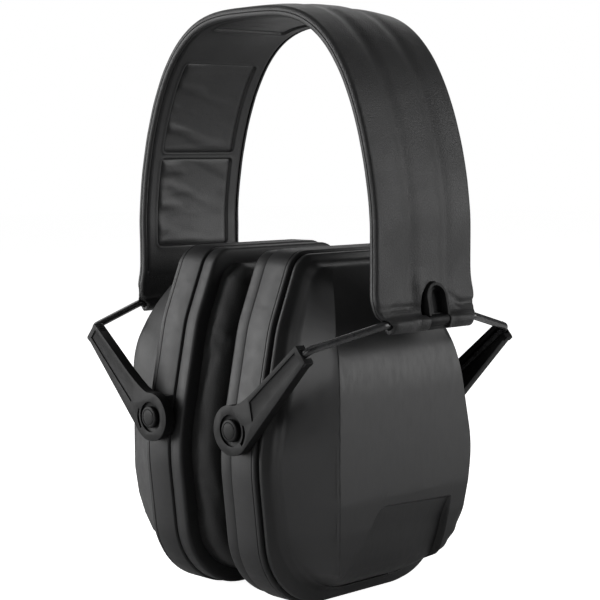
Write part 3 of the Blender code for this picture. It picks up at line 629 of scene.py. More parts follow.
def on_leg(v, w, side):
    """(x, z) of a point v along the leg from the fold axis and w across it, + down and outward."""
    return side * (FOLD_X + v * LEG_X - w * LEG_Z), FOLD_Z + v * LEG_Z + w * LEG_X


WIRE_RADIUS, WIRE_BEND = 1.2, 4.0
WIRE_ROUTE = ((36.0, -46.0), (9.1, -46.0), (0.0, -20.7), (0.0, 20.7), (9.1, 46.0), (36.0, 46.0))


def rounded_path(corners, radius, steps=12):
    """A polyline whose inner corners are arcs of the given radius."""
    points = [Vector(corners[0])]
    for before, corner, after in zip(corners, corners[1:], corners[2:]):
        here = Vector(corner)
        back = (Vector(before) - here).normalized()
        ahead = (Vector(after) - here).normalized()
        half = back.angle(ahead) / 2
        centre = here + (back + ahead).normalized() * (radius / math.sin(half))
        start = here + back * radius / math.tan(half) - centre
        end = here + ahead * radius / math.tan(half) - centre
        sweep = start.angle(end)
        for k in range(steps + 1):
            t = sweep * k / steps
            points.append(centre + (start * math.sin(sweep - t) + end * math.sin(t)) / math.sin(sweep))
    return points + [Vector(corners[-1])]


def tube(path, radius, steps=28):
    """Loops of a round tube along a path, its ends slightly rounded."""
    loops = []
    across = (path[1] - path[0]).cross(Vector((1, 2, 3))).normalized()
    last = len(path) - 1
    for k, here in enumerate(path):
        along = (path[min(k + 1, last)] - path[max(k - 1, 0)]).normalized()
        across = (across - along * across.dot(along)).normalized()
        other = along.cross(across)
        ring = [across * x + other * y for x, y in circle((0.0, 0.0), 1.0, steps)]
        loops.append([here + r * radius for r in ring])
        if k == 0:
            loops.insert(0, [here - along * 0.3 + r * radius * 0.75 for r in ring])
        if k == last:
            loops.append([here + along * 0.3 + r * radius * 0.75 for r in ring])
    return loops


def build_yoke(name, side):
    corners = []
    for v, y in WIRE_ROUTE:
        x, z = on_leg(v, 0.0, side)
        corners.append((x, y, z))
    dense = []
    path = rounded_path(corners, WIRE_BEND)
    for a, b in zip(path, path[1:]):
        pieces = max(1, round((b - a).length / 2.5))
        dense += [a.lerp(b, k / pieces) for k in range(pieces)]
    yoke = to_mesh(f"yoke_wire_{name}", skin(tube(dense + [path[-1]], WIRE_RADIUS)), 50.0)
    finish_piece(yoke, "wire_steel", f"yoke_{name}", f"wire_yoke_{name}")


ARM_INNER_Y, ARM_OUTER_Y, ARM_TOP = 44.4, 47.9, 10.4
ARM_EYE_RADIUS, ARM_HALF_TOP = 7.8, 3.0
ARM_CHANNEL_Y, ARM_NECK_V, ARM_PANEL_DEPTH = 47.2, 27.0, 0.4
EYE_BORE, EYE_RECESS, EYE_RECESS_Y = 2.4, 4.9, 47.0


def arm_outline(inset=0.0, steps=48):
    """The arm's side view as (v, w), moved inward by an inset."""
    radius, half, top = ARM_EYE_RADIUS - inset, ARM_HALF_TOP - inset, ARM_TOP + inset
    lean = math.asin((ARM_EYE_RADIUS - ARM_HALF_TOP) / (REACH - ARM_TOP))
    lean_in = math.radians(46.0)
    turns = [math.pi / 2 + lean - (math.pi + lean + lean_in) * k / steps for k in range(steps + 1)]
    eye = [(REACH + radius * math.cos(t), radius * math.sin(t)) for t in turns]
    (last_v, last_w), (neck_v, neck_w) = eye[-1], (ARM_NECK_V, -half - 0.2)
    bend_v = last_v + (last_w - neck_w) * math.tan(lean_in)
    curve = []
    for k in range(1, 15):
        t = k / 14
        v = (1 - t) ** 2 * last_v + 2 * t * (1 - t) * bend_v + t * t * neck_v
        curve.append((v, (1 - t) ** 2 * last_w + (1 - (1 - t) ** 2) * neck_w))
    return [(top, half)] + eye + curve + [(top, -half)]


def build_arm(name, side, end, reach):
    """Moulded arm: rounded edges, a panel sunk in its face, a hooked tip, an eye and a crescent stop."""

    def slab(outline, low, high):
        return prism([on_leg(v, w, side) for v, w in outline], *span(reach, low, high))

    eye = on_leg(REACH, 0.0, side)
    lug = [(ARM_TOP, 2.0), (ARM_TOP, 3.6), (ARM_TOP + 1.7, 3.6), (ARM_TOP + 2.1, 2.0)]
    arm = to_mesh(f"arm_{end}_{name}_moulded", slab(arm_outline(), ARM_INNER_Y, ARM_OUTER_Y))
    panel = [(ARM_TOP + 1.7, -1.75), (ARM_TOP + 1.7, 1.75), (40.5, 3.3), (37.6, -1.9)]
    channel = [(ARM_TOP - 4, -1.6), (ARM_TOP - 4, 1.6), (37.4, 1.6), (37.4, -1.6)]
    turns = [math.radians(100 + 62 * k / 12) for k in range(13)]
    crescent = [(REACH + 5.6 * math.cos(t), 5.6 * math.sin(t)) for t in turns]
    for k in range(13):
        t = math.radians(162 - 62 * k / 12)
        crescent.append((REACH + (6.55 - 0.4 * abs(k - 6) / 6) * math.cos(t), 6.5 * math.sin(t)))
    tools = [
        (JOIN, slab(lug, ARM_INNER_Y + 0.3, ARM_OUTER_Y - 0.2)),
        (CUT, slab(channel, ARM_INNER_Y - 1, ARM_CHANNEL_Y)),
        (CUT, slab(panel, ARM_OUTER_Y - ARM_PANEL_DEPTH, ARM_OUTER_Y + 1)),
        (CUT, rod(eye, EYE_BORE, *span(reach, ARM_INNER_Y - 1, ARM_OUTER_Y + 1))),
        (CUT, rod(eye, EYE_RECESS, *span(reach, EYE_RECESS_Y, ARM_OUTER_Y + 1), steps=64)),
        (CUT, slab(crescent, ARM_INNER_Y - 1, ARM_OUTER_Y + 1)),
    ]
    for k in range(4):
        v = ARM_TOP + 0.55 + 0.9 * k
        notch = [(v, -4.2), (v + 0.4, -4.2), (v + 0.4, -2.9), (v, -2.9)]
        tools.append((CUT, slab(notch, 45.2, ARM_CHANNEL_Y)))
    carve(arm, tools)
    round_edges(arm, 0.32, 38.0, 3, 50.0)
    finish_piece(arm, "moulded_plastic", f"arms_{name}", f"arm_{end}_{name}")


STUD_SHANK = ((1.5, 40.0), (2.0, 40.6), (2.0, 47.25))
STUD_RIM = ((3.3, 47.25), (3.5, 47.45), (3.5, 48.2), (3.38, 48.5), (3.1, 48.68), (2.75, 48.7))
STUD_FACE = ((2.62, 48.55), (2.5, 48.55), (2.38, 48.72), (1.8, 48.84), (1.0, 48.9), (0.2, 48.9))


def build_stud(name, side, end, reach):
    profile = STUD_SHANK + STUD_RIM + STUD_FACE
    stud = to_mesh(f"stud_{end}_{name}", turned(profile, (side * PIVOT_X, PIVOT_Z), reach), 32.0)
    finish_piece(stud, "moulded_plastic", f"cup_{name}", f"pivot_stud_{end}_{name}")


# ---- ear cups


def corner_points(inset, half):
    """An egg-like outline in the YZ plane, moved inward by an inset: arcs joined by straight runs."""
    corners = list(half) + [(-y, z, r, steps) for y, z, r, steps in reversed(half)]
    corners = list(reversed(corners))
    outline = []
    for k, (y, z, corner_radius, steps) in enumerate(corners):
        here = Vector((y, z))
        to_here = (here - Vector(corners[k - 1][:2])).normalized()
        onward = (Vector(corners[(k + 1) % len(corners)][:2]) - here).normalized()
        in_a = Vector((-to_here.y, to_here.x))
        in_b = Vector((-onward.y, onward.x))
        moved = here + (in_a + in_b) * (inset / (1 + in_a.dot(in_b)))
        turn = to_here.angle(onward)
        radius = max(corner_radius - inset, 7.0)
        centre = moved - to_here * radius * math.tan(turn / 2) + in_a * radius
        for step in range(steps + 1):
            t = turn * step / steps
            outline.append(centre + (to_here * math.sin(t) - in_a * math.cos(t)) * radius)
    return outline


def run_counts():
    outline = corner_points(0.0, CUP_CORNERS)
    return [max(1, math.ceil((b - a).length / 2.0)) for a, b in zip(outline, outline[1:] + outline[:1])]


RUN_COUNTS = run_counts()


def cup_loop(side, x, inset, half=CUP_CORNERS):
    outline = corner_points(inset, half)
    points = []
    for a, b, count in zip(outline, outline[1:] + outline[:1], RUN_COUNTS):
        points += [a.lerp(b, k / count) for k in range(count)]
    return [(side * x, p.x, p.y) for p in points]


def cup_loops(side, sections, half=CUP_CORNERS):
    return [cup_loop(side, x, inset, half) for x, inset in sections]


def build_ring(name, side):
    """Side wall of the cup, with a fine groove near its back and rounded corners."""
    sections = [(14.8, 4.6), (14.8, 0.9), (14.87, 0.45), (15.1, 0.14), (15.5, 0.0)]
    sections += [(23.95, 0.0), (24.15, 0.03), (24.25, 0.3), (24.4, 0.3), (24.5, 0.03), (24.65, 0.0)]
    sections += [(25.2, 0.06), (25.5, 0.2), (25.65, 0.5), (25.7, 0.9), (25.7, 4.6)]
    ring = to_mesh(f"ring_{name}", skin(cup_loops(side, sections), closed=True))
    pivot = (side * PIVOT_X, PIVOT_Z)
    corners = ((-4.2, -6.8), (4.2, -6.8), (4.2, 6.8), (-4.2, 6.8))
    boss = [(pivot[0] + dx, pivot[1] + dz) for dx, dz in corners]
    tools = []
    for _, reach in ENDS:
        tools.append((JOIN, prism(boss, *span(reach, 39.0, 44.05))))
        tools.append((CUT, rod(pivot, 2.3, *span(reach, 30.0, 50.0))))
    carve(ring, tools, 34.0)
    finish_piece(ring, "ring_plastic", f"cup_{name}", f"cup_ring_{name}")


PANEL_X, EDGE_X, EDGE_INSET = 48.2, 31.4, 5.2
PANEL_CREASE, PANEL_SLOPE, PANEL_RAISE = (PANEL_X, -31.0), 0.9, 0.6
FACET_LINES = ((-13.0, 33.5, -26.0, 9.0), (20.5, 32.0, -13.0, 33.5), (19.0, 2.0, 20.5, 32.0))
FACET_CORNER, FACET_DEPTH, FACET_FADE_Z = 6.0, 1.9, (24.0, 33.5)
CREASE_DEPTH, CREASE_FADE_X, CREASE_FADE_Z = 0.3, (40.0, 44.0), (79.0, 86.0)


def facet_edges():
    """Half-planes (point, inward normal) whose overlap is the facet, with a rounded upper left corner."""
    edges = []
    for y0, z0, y1, z1 in FACET_LINES:
        along = Vector((y1 - y0, z1 - z0)).normalized()
        edges.append((Vector((y0, z0)), Vector((-along.y, along.x))))
    (corner, left_in), (_, top_in) = edges[0], edges[1]
    half = left_in.angle(top_in) / 2
    toward = (left_in + top_in).normalized()
    centre = corner + toward * (FACET_CORNER / math.cos(half))
    for k in range(1, 6):
        inward = left_in.slerp(top_in, k / 6)
        edges.append((centre - inward * FACET_CORNER, inward))
    return edges


FACET_EDGES = facet_edges()


def facet_inside(y, z):
    return min((Vector((y, z)) - point).dot(inward) for point, inward in FACET_EDGES)


REAR_SLOPE_WIDTH, LEAST_SLOPE_WIDTH = 8.8, 3.0
TOP_SLOPE_RUN = 38.0
BOTTOM_SLOPE = (
    (5.2, EDGE_X), (7.0, 36.5), (10.0, 41.0), (14.0, 43.8), (20.0, 45.8), (27.0, 47.3), (36.0, PANEL_X),
)  # fmt: skip


def edge_outline():
    """The dome's tight outer edge as rising heights and half widths."""
    widest = {}
    for _, y, z in cup_loop(1, 0.0, EDGE_INSET, DOME_CORNERS):
        height = round(z, 3)
        widest[height] = max(widest.get(height, 0.0), y)
    heights = sorted(widest)
    return heights, [widest[z] for z in heights]


EDGE_HEIGHTS, EDGE_HALF_WIDTHS = edge_outline()


def panel_depth(z):
    """Depth of the panel at a height: flat in the middle, falling away toward the top and the bottom edge."""
    up = min(1.0, max(0.0, (EDGE_HEIGHTS[-1] - z) / TOP_SLOPE_RUN))
    top = EDGE_X + (PANEL_X - EDGE_X) * (1 - (1 - up) ** 2)
    return min(PANEL_X, top, float(np.interp(z, *zip(*BOTTOM_SLOPE))))


def dome_x(y, z):
    """Depth of the dome: a panel between creases, with faces that run down to the tight outer edge."""
    edge = float(np.interp(z, EDGE_HEIGHTS, EDGE_HALF_WIDTHS))
    panel = panel_depth(z)
    front_width = edge + PANEL_CREASE[1] + PANEL_SLOPE * (PANEL_X - panel)
    width = max(front_width, LEAST_SLOPE_WIDTH) if y < 0 else REAR_SLOPE_WIDTH
    share = min(1.0, max(0.0, edge - abs(y)) / width)
    return EDGE_X + (panel - EDGE_X) * share


def behind_crease(x, y):
    return (y - PANEL_CREASE[1] + (x - PANEL_CREASE[0]) * PANEL_SLOPE) / math.hypot(1, PANEL_SLOPE)


def dome_surface(y, z):
    """The dome with its panel standing proud behind the front crease, and the facet sunk into it."""
    x = dome_x(y, z)
    behind = behind_crease(x, y)
    share = ease(x, *CREASE_FADE_X) * (1 - ease(z, *CREASE_FADE_Z))
    raised = x + PANEL_RAISE * share * ease(behind, -0.1, 0.22)
    raised -= CREASE_DEPTH * share * bump(behind, -0.28, 0.2)
    floor = min(43.0 + (z - 4.0) * 0.18, x - FACET_DEPTH * (1 - ease(z, *FACET_FADE_Z)))
    if floor < raised:
        raised += (floor - raised) * ease(facet_inside(y, z), -0.1, 0.5)
    return raised


def cut_along(made, place, normal, offsets, wanted=None):
    """Splits the faces that pass `wanted` along parallel planes, so that points lie on each."""
    for offset in offsets:
        faces = [f for f in made.faces if wanted is None or wanted(f.calc_center_median())]
        edges = {e for f in faces for e in f.edges}
        verts = {v for f in faces for v in f.verts}
        geometry = list(verts) + list(edges) + faces
        point = place + normal * offset
        bmesh.ops.bisect_plane(made, geom=geometry, dist=1e-5, plane_co=point, plane_no=normal)


def under_dome(side, inset, depth, deepest=44.0):
    """A loop that follows the dome's surface at a depth under it."""
    loop = cup_loop(side, 0.0, inset, DOME_CORNERS)
    return [Vector((side * min(deepest, dome_x(p[1], p[2]) - depth), p[1], p[2])) for p in loop]


CUP_MIDDLE_Z = 56.0
PANEL_INSETS = (5.6, 6.1, 6.8, 7.7, 8.8, 10.0, 11.3, 12.6, 14.0, 16.0, 18.0, 20.0)
PANEL_SHARES = (0.93, 0.86, 0.79, 0.72, 0.64, 0.56, 0.48, 0.4, 0.3, 0.2, 0.1)
CREASE_CUTS = (-0.9, -0.55, -0.4, -0.28, -0.16, -0.08, 0.02, 0.12, 0.24, 0.5)
FACET_CUTS = (-0.35, -0.1, 0.05, 0.2, 0.35, 0.5, 0.8)
SHELL_WALL = 2.0


def build_shell(name, side):
    """Deep dome: lip, cove, a panel proud behind an upright crease, and a sloping facet below."""
    lip = [(26.0, 2.1), (26.08, 1.6), (26.3, 1.3), (26.7, 1.16), (27.2, 1.18), (27.6, 1.4), (27.85, 1.8)]
    cove = [(28.2, 3.0), (28.5, 3.6), (29.0, 4.1), (30.0, 4.6), (30.7, 4.85), (31.1, 5.05), (EDGE_X, 5.3)]
    outer = cup_loops(side, lip) + cup_loops(side, cove, DOME_CORNERS)
    for inset in PANEL_INSETS:
        outer.append(under_dome(side, inset, 0.0, PANEL_X))
    centre = Vector((side * PANEL_X, 0.0, CUP_MIDDLE_Z))
    rim = outer[-1]
    for share in PANEL_SHARES:
        loop = [centre.lerp(Vector(p), share) for p in rim]
        outer.append([Vector((side * dome_x(p.y, p.z), p.y, p.z)) for p in loop])
    made = bmesh.new()
    points = add_skin(made, skin(outer, caps=False))
    made.faces.new(points[-len(outer[0]) :])
    crease_normal = Vector((side * PANEL_SLOPE, 1.0, 0.0)).normalized()
    place = Vector((side * PANEL_CREASE[0], PANEL_CREASE[1], 0.0))
    cut_along(made, place, crease_normal, CREASE_CUTS)

    def near_facet(p):
        return side * p.x > 38.0 and p.z < 40.0 and facet_inside(p.y, p.z) > -4.0

    for point, inward in FACET_EDGES:
        place = Vector((0.0, point.x, point.y))
        normal = Vector((0.0, inward.x, inward.y))
        cut_along(made, place, normal, FACET_CUTS, near_facet)
    for vert in made.verts:
        if side * vert.co.x > EDGE_X + 1.0:
            vert.co.x = side * dome_surface(vert.co.y, vert.co.z)
    inside = [under_dome(side, inset, SHELL_WALL) for inset in (20.0, 15.0, 11.0, 8.0)]
    inside += cup_loops(side, [(26.0, 6.6), (26.0, 2.1)])
    points = add_skin(made, skin(inside, caps=False))
    made.faces.new(points[: len(inside[0])])
    shell = close_mesh(f"shell_{name}", made, 50.0, weld=True)
    finish_piece(shell, "shell_plastic", f"cup_{name}", f"cup_shell_{name}")


SKIRT_OUTER = ((14.4, 1.6), (14.4, 0.95), (14.33, 0.72), (14.1, 0.6), (10.4, 0.6), (9.8, 0.75), (9.42, 1.15))
SKIRT_INNER = ((9.3, 1.8), (9.3, 5.2), (9.6, 6.4), (11.6, 6.4), (11.9, 5.4), (11.9, 1.6))


def build_skirt(name, side):
    """Moulded rim that laps over the plate's edge and carries the soft cushion."""
    skirt = to_mesh(f"cushion_rim_{name}", skin(cup_loops(side, SKIRT_OUTER + SKIRT_INNER), closed=True))
    finish_piece(skirt, "ring_plastic", f"cup_{name}", f"ear_cushion_{name}")


CUSHION_SIDE = ((11.8, 5.6), (9.9, 5.5), (8.0, 5.75), (6.0, 5.9), (4.2, 6.3), (2.9, 7.1), (2.0, 8.4))
CUSHION_FACE = ((1.55, 10.0), (1.4, 12.0), (1.5, 14.2), (1.8, 16.4), (2.6, 18.4), (3.9, 20.0), (5.6, 21.0))
CUSHION_BACK = ((7.6, 21.4), (9.6, 21.4), (11.8, 21.2), (11.9, 16.0), (11.9, 10.0))
CUSHION_HELD_X, CUSHION_FACE_X, CUSHION_SWELL = 11.0, 0.4, 0.55
CUSHION_MIDDLE_Z = 55.0


def build_cushions():
    """Soft ear cushions: closed rings blown up as cloth, flat where the two meet."""
    section = spline(CUSHION_SIDE + CUSHION_FACE + CUSHION_BACK, 2)
    settings = dict(use_pressure=True, uniform_pressure_force=2.0, bending_stiffness=2.0, shrink_min=-0.004)
    data = [skin(cup_loops(side, section), closed=True) for _, side in SIDES]
    results = [[pucker(v, side) for v in verts] for (verts, _), (_, side) in zip(data, SIDES)]
    shapes = []
    for (name, side), (verts, faces), puckered in zip(SIDES, data, results):
        held = [side * v[0] > CUSHION_HELD_X for v in verts]
        shapes.append(sim_object(f"sim_cushion_{name}", puckered, faces, held, **settings))
    results = run_cloth(shapes)
    for (name, side), (verts, faces), moved in zip(SIDES, data, results):
        points = []
        for before, after in zip(verts, moved):
            step = Vector(after) - Vector(before)
            if step.length > CUSHION_SWELL:
                step = step * (CUSHION_SWELL / step.length)
            place = Vector(before) + step
            place.x = side * max(CUSHION_FACE_X, side * place.x)
            points.append(tuple(place))
        cushion = to_mesh(f"cushion_{name}", (points, faces), 60.0)
        refine(cushion)
        finish_piece(cushion, "cushion_vinyl", f"cup_{name}", f"ear_cushion_{name}")
        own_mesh(cushion)


def pucker(point, side):
    """Small gathers at the inner edge and along the side of the cushion's vinyl."""
    x, y, z = point
    around = math.atan2(y, z - CUSHION_MIDDLE_Z)
    ripple = math.sin(around * 46.0 + 2.0 * wobble(y, z, 16.0, side)) * 0.12
    depth = ease(side * x, 1.5, 6.0) * (1 - ease(side * x, 8.5, 11.0))
    out = Vector((0.0, y, z - CUSHION_MIDDLE_Z)).normalized() * ripple * depth
    return (x, y + out.y, z + out.z)


def build_foam(name, side):
    """Sound-absorbing foam seen through the ear opening."""
    sections = [(15.2, 13.0), (15.25, 11.0), (16.0, 9.8), (17.0, 9.4), (29.0, 9.4)]
    loops = cup_loops(side, sections, DOME_CORNERS) + [under_dome(side, 11.4, 3.0, 37.0)]
    centre = Vector((side * 15.2, 0.0, CUP_MIDDLE_Z))
    caps = []
    for share in (0.1, 0.3, 0.5, 0.7, 0.85):
        loop = [centre.lerp(Vector(p), share) for p in loops[0]]
        caps.append([(p.x + side * 0.35 * (1 + wobble(p.y, p.z, 7.0)), p.y, p.z) for p in loop])
    foam = to_mesh(f"cup_foam_{name}", skin(caps + loops), 50.0)
    finish_piece(foam, "acoustic_foam", f"cup_{name}", f"acoustic_foam_{name}")


# ---- materials


class Finish:
    """A Principled material and the node steps that every finish is made of."""

    def __init__(self, name, colour, roughness, **values):
        self.material = bpy.data.materials.new(name)
        self.material.use_nodes = True
        self.tree = self.material.node_tree
        self.shader = self.tree.nodes["Principled BSDF"]
        self.shader.inputs["Base Color"].default_value = (*colour, 1.0)
        self.shader.inputs["Roughness"].default_value = roughness
        for key, value in values.items():
            self.shader.inputs[key.replace("_", " ")].default_value = value
        self.place = self.tree.nodes.new("ShaderNodeTexCoord").outputs["Object"]

    def node(self, kind, sources, settings=(), **values):
        """The outputs of a new node with links from its sources and values in its other sockets."""
        made = self.tree.nodes.new("ShaderNode" + kind)
        for key, value in settings:
            setattr(made, key, value)
        for key, value in values.items():
            made.inputs[key.replace("_", " ")].default_value = value
        for socket, source in sources.items():
            self.tree.links.new(source, made.inputs[socket])
        return made.outputs

    def send(self, value, socket):
        self.tree.links.new(value, self.shader.inputs[socket])

    def noise(self, scale, detail=3.0, roughness=0.55, stretch=None):
        """Noise whose features are 1/scale metres across; stretch scales its coordinates per axis."""
        place = self.place
        if stretch:
            place = self.node("Mapping", {"Vector": place}, Scale=stretch)["Vector"]
        values = dict(Scale=scale, Detail=detail, Roughness=roughness)
        return self.node("TexNoise", {"Vector": place}, **values)["Fac"]

    def cells(self, scale, feature="DISTANCE_TO_EDGE"):
        settings = [("feature", feature)]
        return self.node("TexVoronoi", {"Vector": self.place}, settings, Scale=scale)["Distance"]

    def remap(self, value, low, high, start=0.0, end=1.0):
        sockets = dict(From_Min=low, From_Max=high, To_Min=start, To_Max=end)
        return self.node("MapRange", {"Value": value}, **sockets)["Result"]

    def emboss(self, height, strength, distance, under=None):
        """A bump of the height in metres, on top of another bump if one is given."""
        sources = {"Height": height}
        if under is not None:
            sources["Normal"] = under
        return self.node("Bump", sources, Strength=strength, Distance=distance)["Normal"]

    def vary_gloss(self, value, low, high, middle, drift):
        """Roughness that drifts about a middle as the value goes from low to high."""
        self.send(self.remap(value, low, high, middle - drift, middle + drift), "Roughness")

    def tint(self, value, dark, light):
        """Colour that drifts between two shades with a value."""
        ends = dict(A=(*dark, 1.0), B=(*light, 1.0))
        mixed = self.node("Mix", {"Factor": value}, [("data_type", "RGBA")], **ends)
        self.send(mixed["Result"], "Base Color")


def shades(colour, dark, light):
    return tuple(c * dark for c in colour), tuple(c * light for c in colour)


def grained(name, colour, roughness, grain, cell, depth, drift, **values):
    """Leather and vinyl: raised cells between creases, pores, painted shade in the creases and painted light
    on the raised cells, and slow drifts in gloss.
    """
    finish = Finish(name, colour, roughness, **values)
    warp = finish.noise(grain * 0.5, 2.0)
    creases = finish.remap(finish.cells(grain), 0.0, cell)
    normal = finish.emboss(creases, 0.55, depth)
    normal = finish.emboss(warp, 0.5, depth * 1.6, normal)
    normal = finish.emboss(finish.noise(grain * 4.0, 2.0), 0.4, depth * 0.4, normal)
    finish.send(normal, "Normal")
    finish.vary_gloss(finish.noise(60.0), 0.3, 0.7, roughness, drift)
    # painted shade and light: the colour is darker in the sunken creases and lighter on the raised cells
    finish.tint(creases, *shades(colour, 0.8, 1.35))
    return finish.material


def moulded(name, colour, roughness, texture, depth, drift, **values):
    """Injection-moulded plastic: a fine skin, faint flow marks and handling scuffs in its gloss."""
    finish = Finish(name, colour, roughness, **values)
    fine = finish.noise(texture, 2.0, 0.6)
    flow = finish.noise(90.0, 2.0, 0.5, (1.0, 1.0, 0.35))
    normal = finish.emboss(fine, 0.5, depth)
    finish.send(finish.emboss(flow, 0.25, depth * 4.0, normal), "Normal")
    scuffs = finish.noise(220.0, 5.0, 0.7, (1.0, 3.0, 1.0))
    finish.vary_gloss(scuffs, 0.35, 0.7, roughness, drift)
    finish.tint(finish.noise(35.0, 2.0), *shades(colour, 0.85, 1.15))
    return finish.material


def coated_wire():
    finish = Finish("wire_steel", (0.03, 0.03, 0.031), 0.26, Coat_Weight=0.3)
    drawn = finish.noise(500.0, 3.0, 0.6, (1.0, 0.15, 1.0))
    finish.send(finish.emboss(drawn, 0.3, 0.00002), "Normal")
    finish.vary_gloss(drawn, 0.3, 0.7, 0.28, 0.08)
    worn = finish.remap(finish.noise(130.0, 4.0, 0.7), 0.55, 0.8)
    finish.tint(worn, (0.022, 0.022, 0.023), (0.06, 0.06, 0.062))
    return finish.material


def brushed_spring():
    finish = Finish("spring_steel", (0.42, 0.42, 0.43), 0.32, Metallic=1.0)
    lines = finish.noise(900.0, 3.0, 0.6, (0.1, 1.0, 0.1))
    finish.send(finish.emboss(lines, 0.4, 0.00003), "Normal")
    finish.vary_gloss(lines, 0.3, 0.7, 0.335, 0.085)
    return finish.material


def open_foam(name, colour):
    finish = Finish(name, colour, 0.95)
    pores = finish.cells(1500.0, "F1")
    finish.send(finish.emboss(pores, 1.0, 0.0004), "Normal")
    # painted shade: the colour is darker in the sunken pore pits and lighter between them
    finish.tint(finish.remap(pores, 0.1, 0.6), *shades(colour, 0.35, 1.3))
    return finish.material


LEATHER = dict(Sheen_Weight=0.06, Sheen_Roughness=0.4, Specular_IOR_Level=0.5)
GRAINED = (
    ("leatherette", (0.0108, 0.0108, 0.0112), 0.52, 1150.0, 0.16, 0.00007, 0.05, LEATHER),
    ("liner_vinyl", (0.013, 0.013, 0.0135), 0.46, 1500.0, 0.12, 0.00003, 0.05, {}),
    ("pad_vinyl", (0.018, 0.018, 0.0185), 0.38, 1400.0, 0.12, 0.00003, 0.06, {}),
    ("cushion_vinyl", (0.009, 0.009, 0.0092), 0.46, 1400.0, 0.12, 0.00004, 0.06, {}),
)
MOULDED = (
    ("moulded_plastic", (0.0045, 0.0045, 0.0047), 0.52, 2600.0, 0.00002, 0.06, dict(Specular_IOR_Level=0.22)),
    ("ring_plastic", (0.015, 0.015, 0.0155), 0.5, 2600.0, 0.00003, 0.05, dict(Specular_IOR_Level=0.36)),
    ("plate_plastic", (0.015, 0.015, 0.0155), 0.45, 2600.0, 0.00003, 0.05, {}),
    ("shell_plastic", (0.017, 0.017, 0.0175), 0.46, 2400.0, 0.00004, 0.05, {}),
)


def make_materials():
    made = {name: grained(name, *numbers, **values) for name, *numbers, values in GRAINED}
    for name, *numbers, values in MOULDED:
        made[name] = moulded(name, *numbers, **values)
    made["wire_steel"] = coated_wire()
    made["spring_steel"] = brushed_spring()
    made["crown_foam"] = open_foam("crown_foam", (0.06, 0.06, 0.062))
    made["acoustic_foam"] = open_foam("acoustic_foam", (0.035, 0.035, 0.036))
    return made


# ---- studio

CAMERA_AZIMUTH, CAMERA_ELEVATION, CAMERA_ROLL = 45.57, 5.02, -0.42
CAMERA_DISTANCE, CAMERA_LENS = 0.5404, 98.25
CAMERA_AIM = (0.0006, 0.0935)
SOFTBOX_AIM = (0.0, 0.0, 0.09)
SOFTBOXES = (
    ("left_box", CAMERA_AZIMUTH - 93.0, 10.0, 0.75, (0.5, 0.7), 6.8),
    ("front_box", CAMERA_AZIMUTH - 30.0, 4.0, 0.9, (0.4, 0.6), 1.3),
    ("right_box", CAMERA_AZIMUTH + 86.0, 6.0, 0.75, (0.5, 0.7), 3.4),
    ("top_box", CAMERA_AZIMUTH, 76.0, 0.75, (0.6, 0.5), 0.45),
    ("rim_box", CAMERA_AZIMUTH + 180.0, 35.0, 0.9, (0.9, 0.4), 1.6),
)
WORLD_FILL, FLOOR_GLOW, FLOOR_HALF_SIZE = 0.055, 0.95, 3000
WHITE, FLOOR_GREY = (1.0, 1.0, 1.0, 1.0), (0.8, 0.8, 0.8, 1.0)


def toward(azimuth, elevation):
    """The direction from the object to an azimuth (0 is the front, 90 the left ear) and elevation."""
    a, e = math.radians(azimuth), math.radians(elevation)
    return Vector((math.sin(a) * math.cos(e), -math.cos(a) * math.cos(e), math.sin(e)))


def softbox(name, azimuth, elevation, distance, size, energy):
    """An area light that faces the object."""
    light = bpy.data.lights.new(name, "AREA")
    light.shape = "RECTANGLE"
    light.size, light.size_y = size
    light.energy = energy
    box = new_object(name, light)
    centre = Vector(SOFTBOX_AIM)
    box.location = centre + toward(azimuth, elevation) * distance
    box.rotation_euler = (centre - box.location).to_track_quat("-Z", "Y").to_euler()


def build_camera():
    """The photograph's viewpoint: aimed past the object's middle, with a slight roll."""
    a, r = math.radians(CAMERA_AZIMUTH), math.radians(CAMERA_ROLL)
    back = toward(CAMERA_AZIMUTH, CAMERA_ELEVATION)
    right = Vector((math.cos(a), math.sin(a), 0.0))
    up = back.cross(right)
    rolled = (right * math.cos(r) + up * math.sin(r), up * math.cos(r) - right * math.sin(r), back)
    turn = Matrix(rolled).transposed().to_4x4()
    aim = right * CAMERA_AIM[0] + Vector((0.0, 0.0, CAMERA_AIM[1]))
    turn.translation = aim + back * CAMERA_DISTANCE
    data = bpy.data.cameras.new("photo_camera")
    data.lens = CAMERA_LENS
    data.clip_start = 0.01
    camera = new_object("photo_camera", data)
    camera.matrix_world = turn
    bpy.context.scene.camera = camera


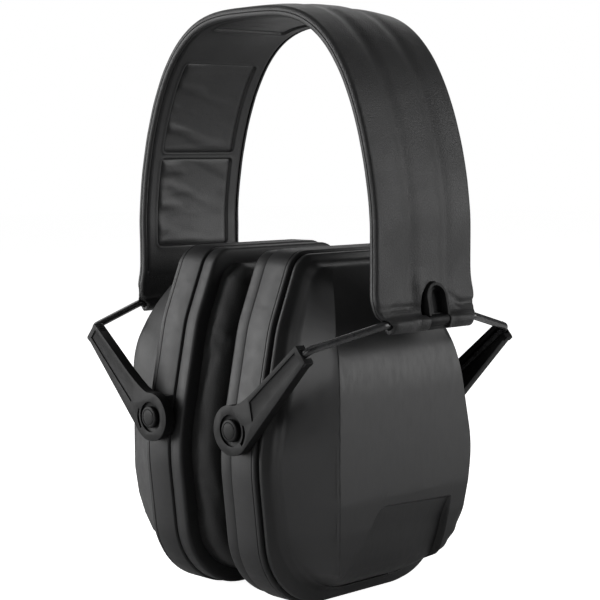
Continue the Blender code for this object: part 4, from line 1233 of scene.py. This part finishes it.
def white_for_camera(tree, output, seen, lit):
    """White where the camera looks straight at it, and dimmer as a source of light for the object."""
    path = tree.nodes.new("ShaderNodeLightPath")
    mix = tree.nodes.new("ShaderNodeMixShader")
    tree.links.new(path.outputs["Is Camera Ray"], mix.inputs["Fac"])
    tree.links.new(lit, mix.inputs[1])
    tree.links.new(seen, mix.inputs[2])
    tree.links.new(mix.outputs["Shader"], tree.nodes[output].inputs["Surface"])


def build_world():
    scene = bpy.context.scene
    scene.view_settings.view_transform = "Standard"
    scene.world = bpy.data.worlds.new("studio")
    scene.world.use_nodes = True
    tree = scene.world.node_tree
    dim = tree.nodes["Background"]
    white = tree.nodes.new("ShaderNodeBackground")
    for light, strength in ((dim, WORLD_FILL), (white, 1.0)):
        light.inputs["Color"].default_value = WHITE
        light.inputs["Strength"].default_value = strength
    white_for_camera(tree, "World Output", white.outputs[0], dim.outputs[0])


def build_floor():
    ends = (-FLOOR_HALF_SIZE, FLOOR_HALF_SIZE)
    floor = to_mesh("studio_floor", grid_skin([[(x, y, -0.05) for x in ends] for y in ends]))
    material = bpy.data.materials.new("studio_floor")
    material.use_nodes = True
    tree = material.node_tree
    paper = tree.nodes["Principled BSDF"]
    paper.inputs["Base Color"].default_value = FLOOR_GREY
    paper.inputs["Roughness"].default_value = 0.9
    glow = tree.nodes.new("ShaderNodeEmission")
    glow.inputs["Strength"].default_value = FLOOR_GLOW
    both = tree.nodes.new("ShaderNodeAddShader")
    tree.links.new(paper.outputs[0], both.inputs[0])
    tree.links.new(glow.outputs[0], both.inputs[1])
    white_for_camera(tree, "Material Output", both.outputs[0], paper.outputs[0])
    floor.data.materials.append(material)


# ---- assembly

MATERIAL = make_materials()
build_cover()
build_liner()
build_pads()
for side_name, side_sign in SIDES:
    build_bracket(side_name, side_sign)
    build_yoke(side_name, side_sign)
    for end_name, end_sign in ENDS:
        build_arm(side_name, side_sign, end_name, end_sign)
        build_stud(side_name, side_sign, end_name, end_sign)
    build_ring(side_name, side_sign)
    build_shell(side_name, side_sign)
    build_skirt(side_name, side_sign)
    build_foam(side_name, side_sign)
build_cushions()
paint(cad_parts["headband_spring"], "spring_steel")
paint(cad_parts["headband_foam"], "crown_foam")
for side_name, _ in SIDES:
    paint(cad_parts[f"cushion_plate_{side_name}"], "plate_plastic")
build_camera()
build_world()
build_floor()
for box_name, *box_place in SOFTBOXES:
    softbox(box_name, *box_place)
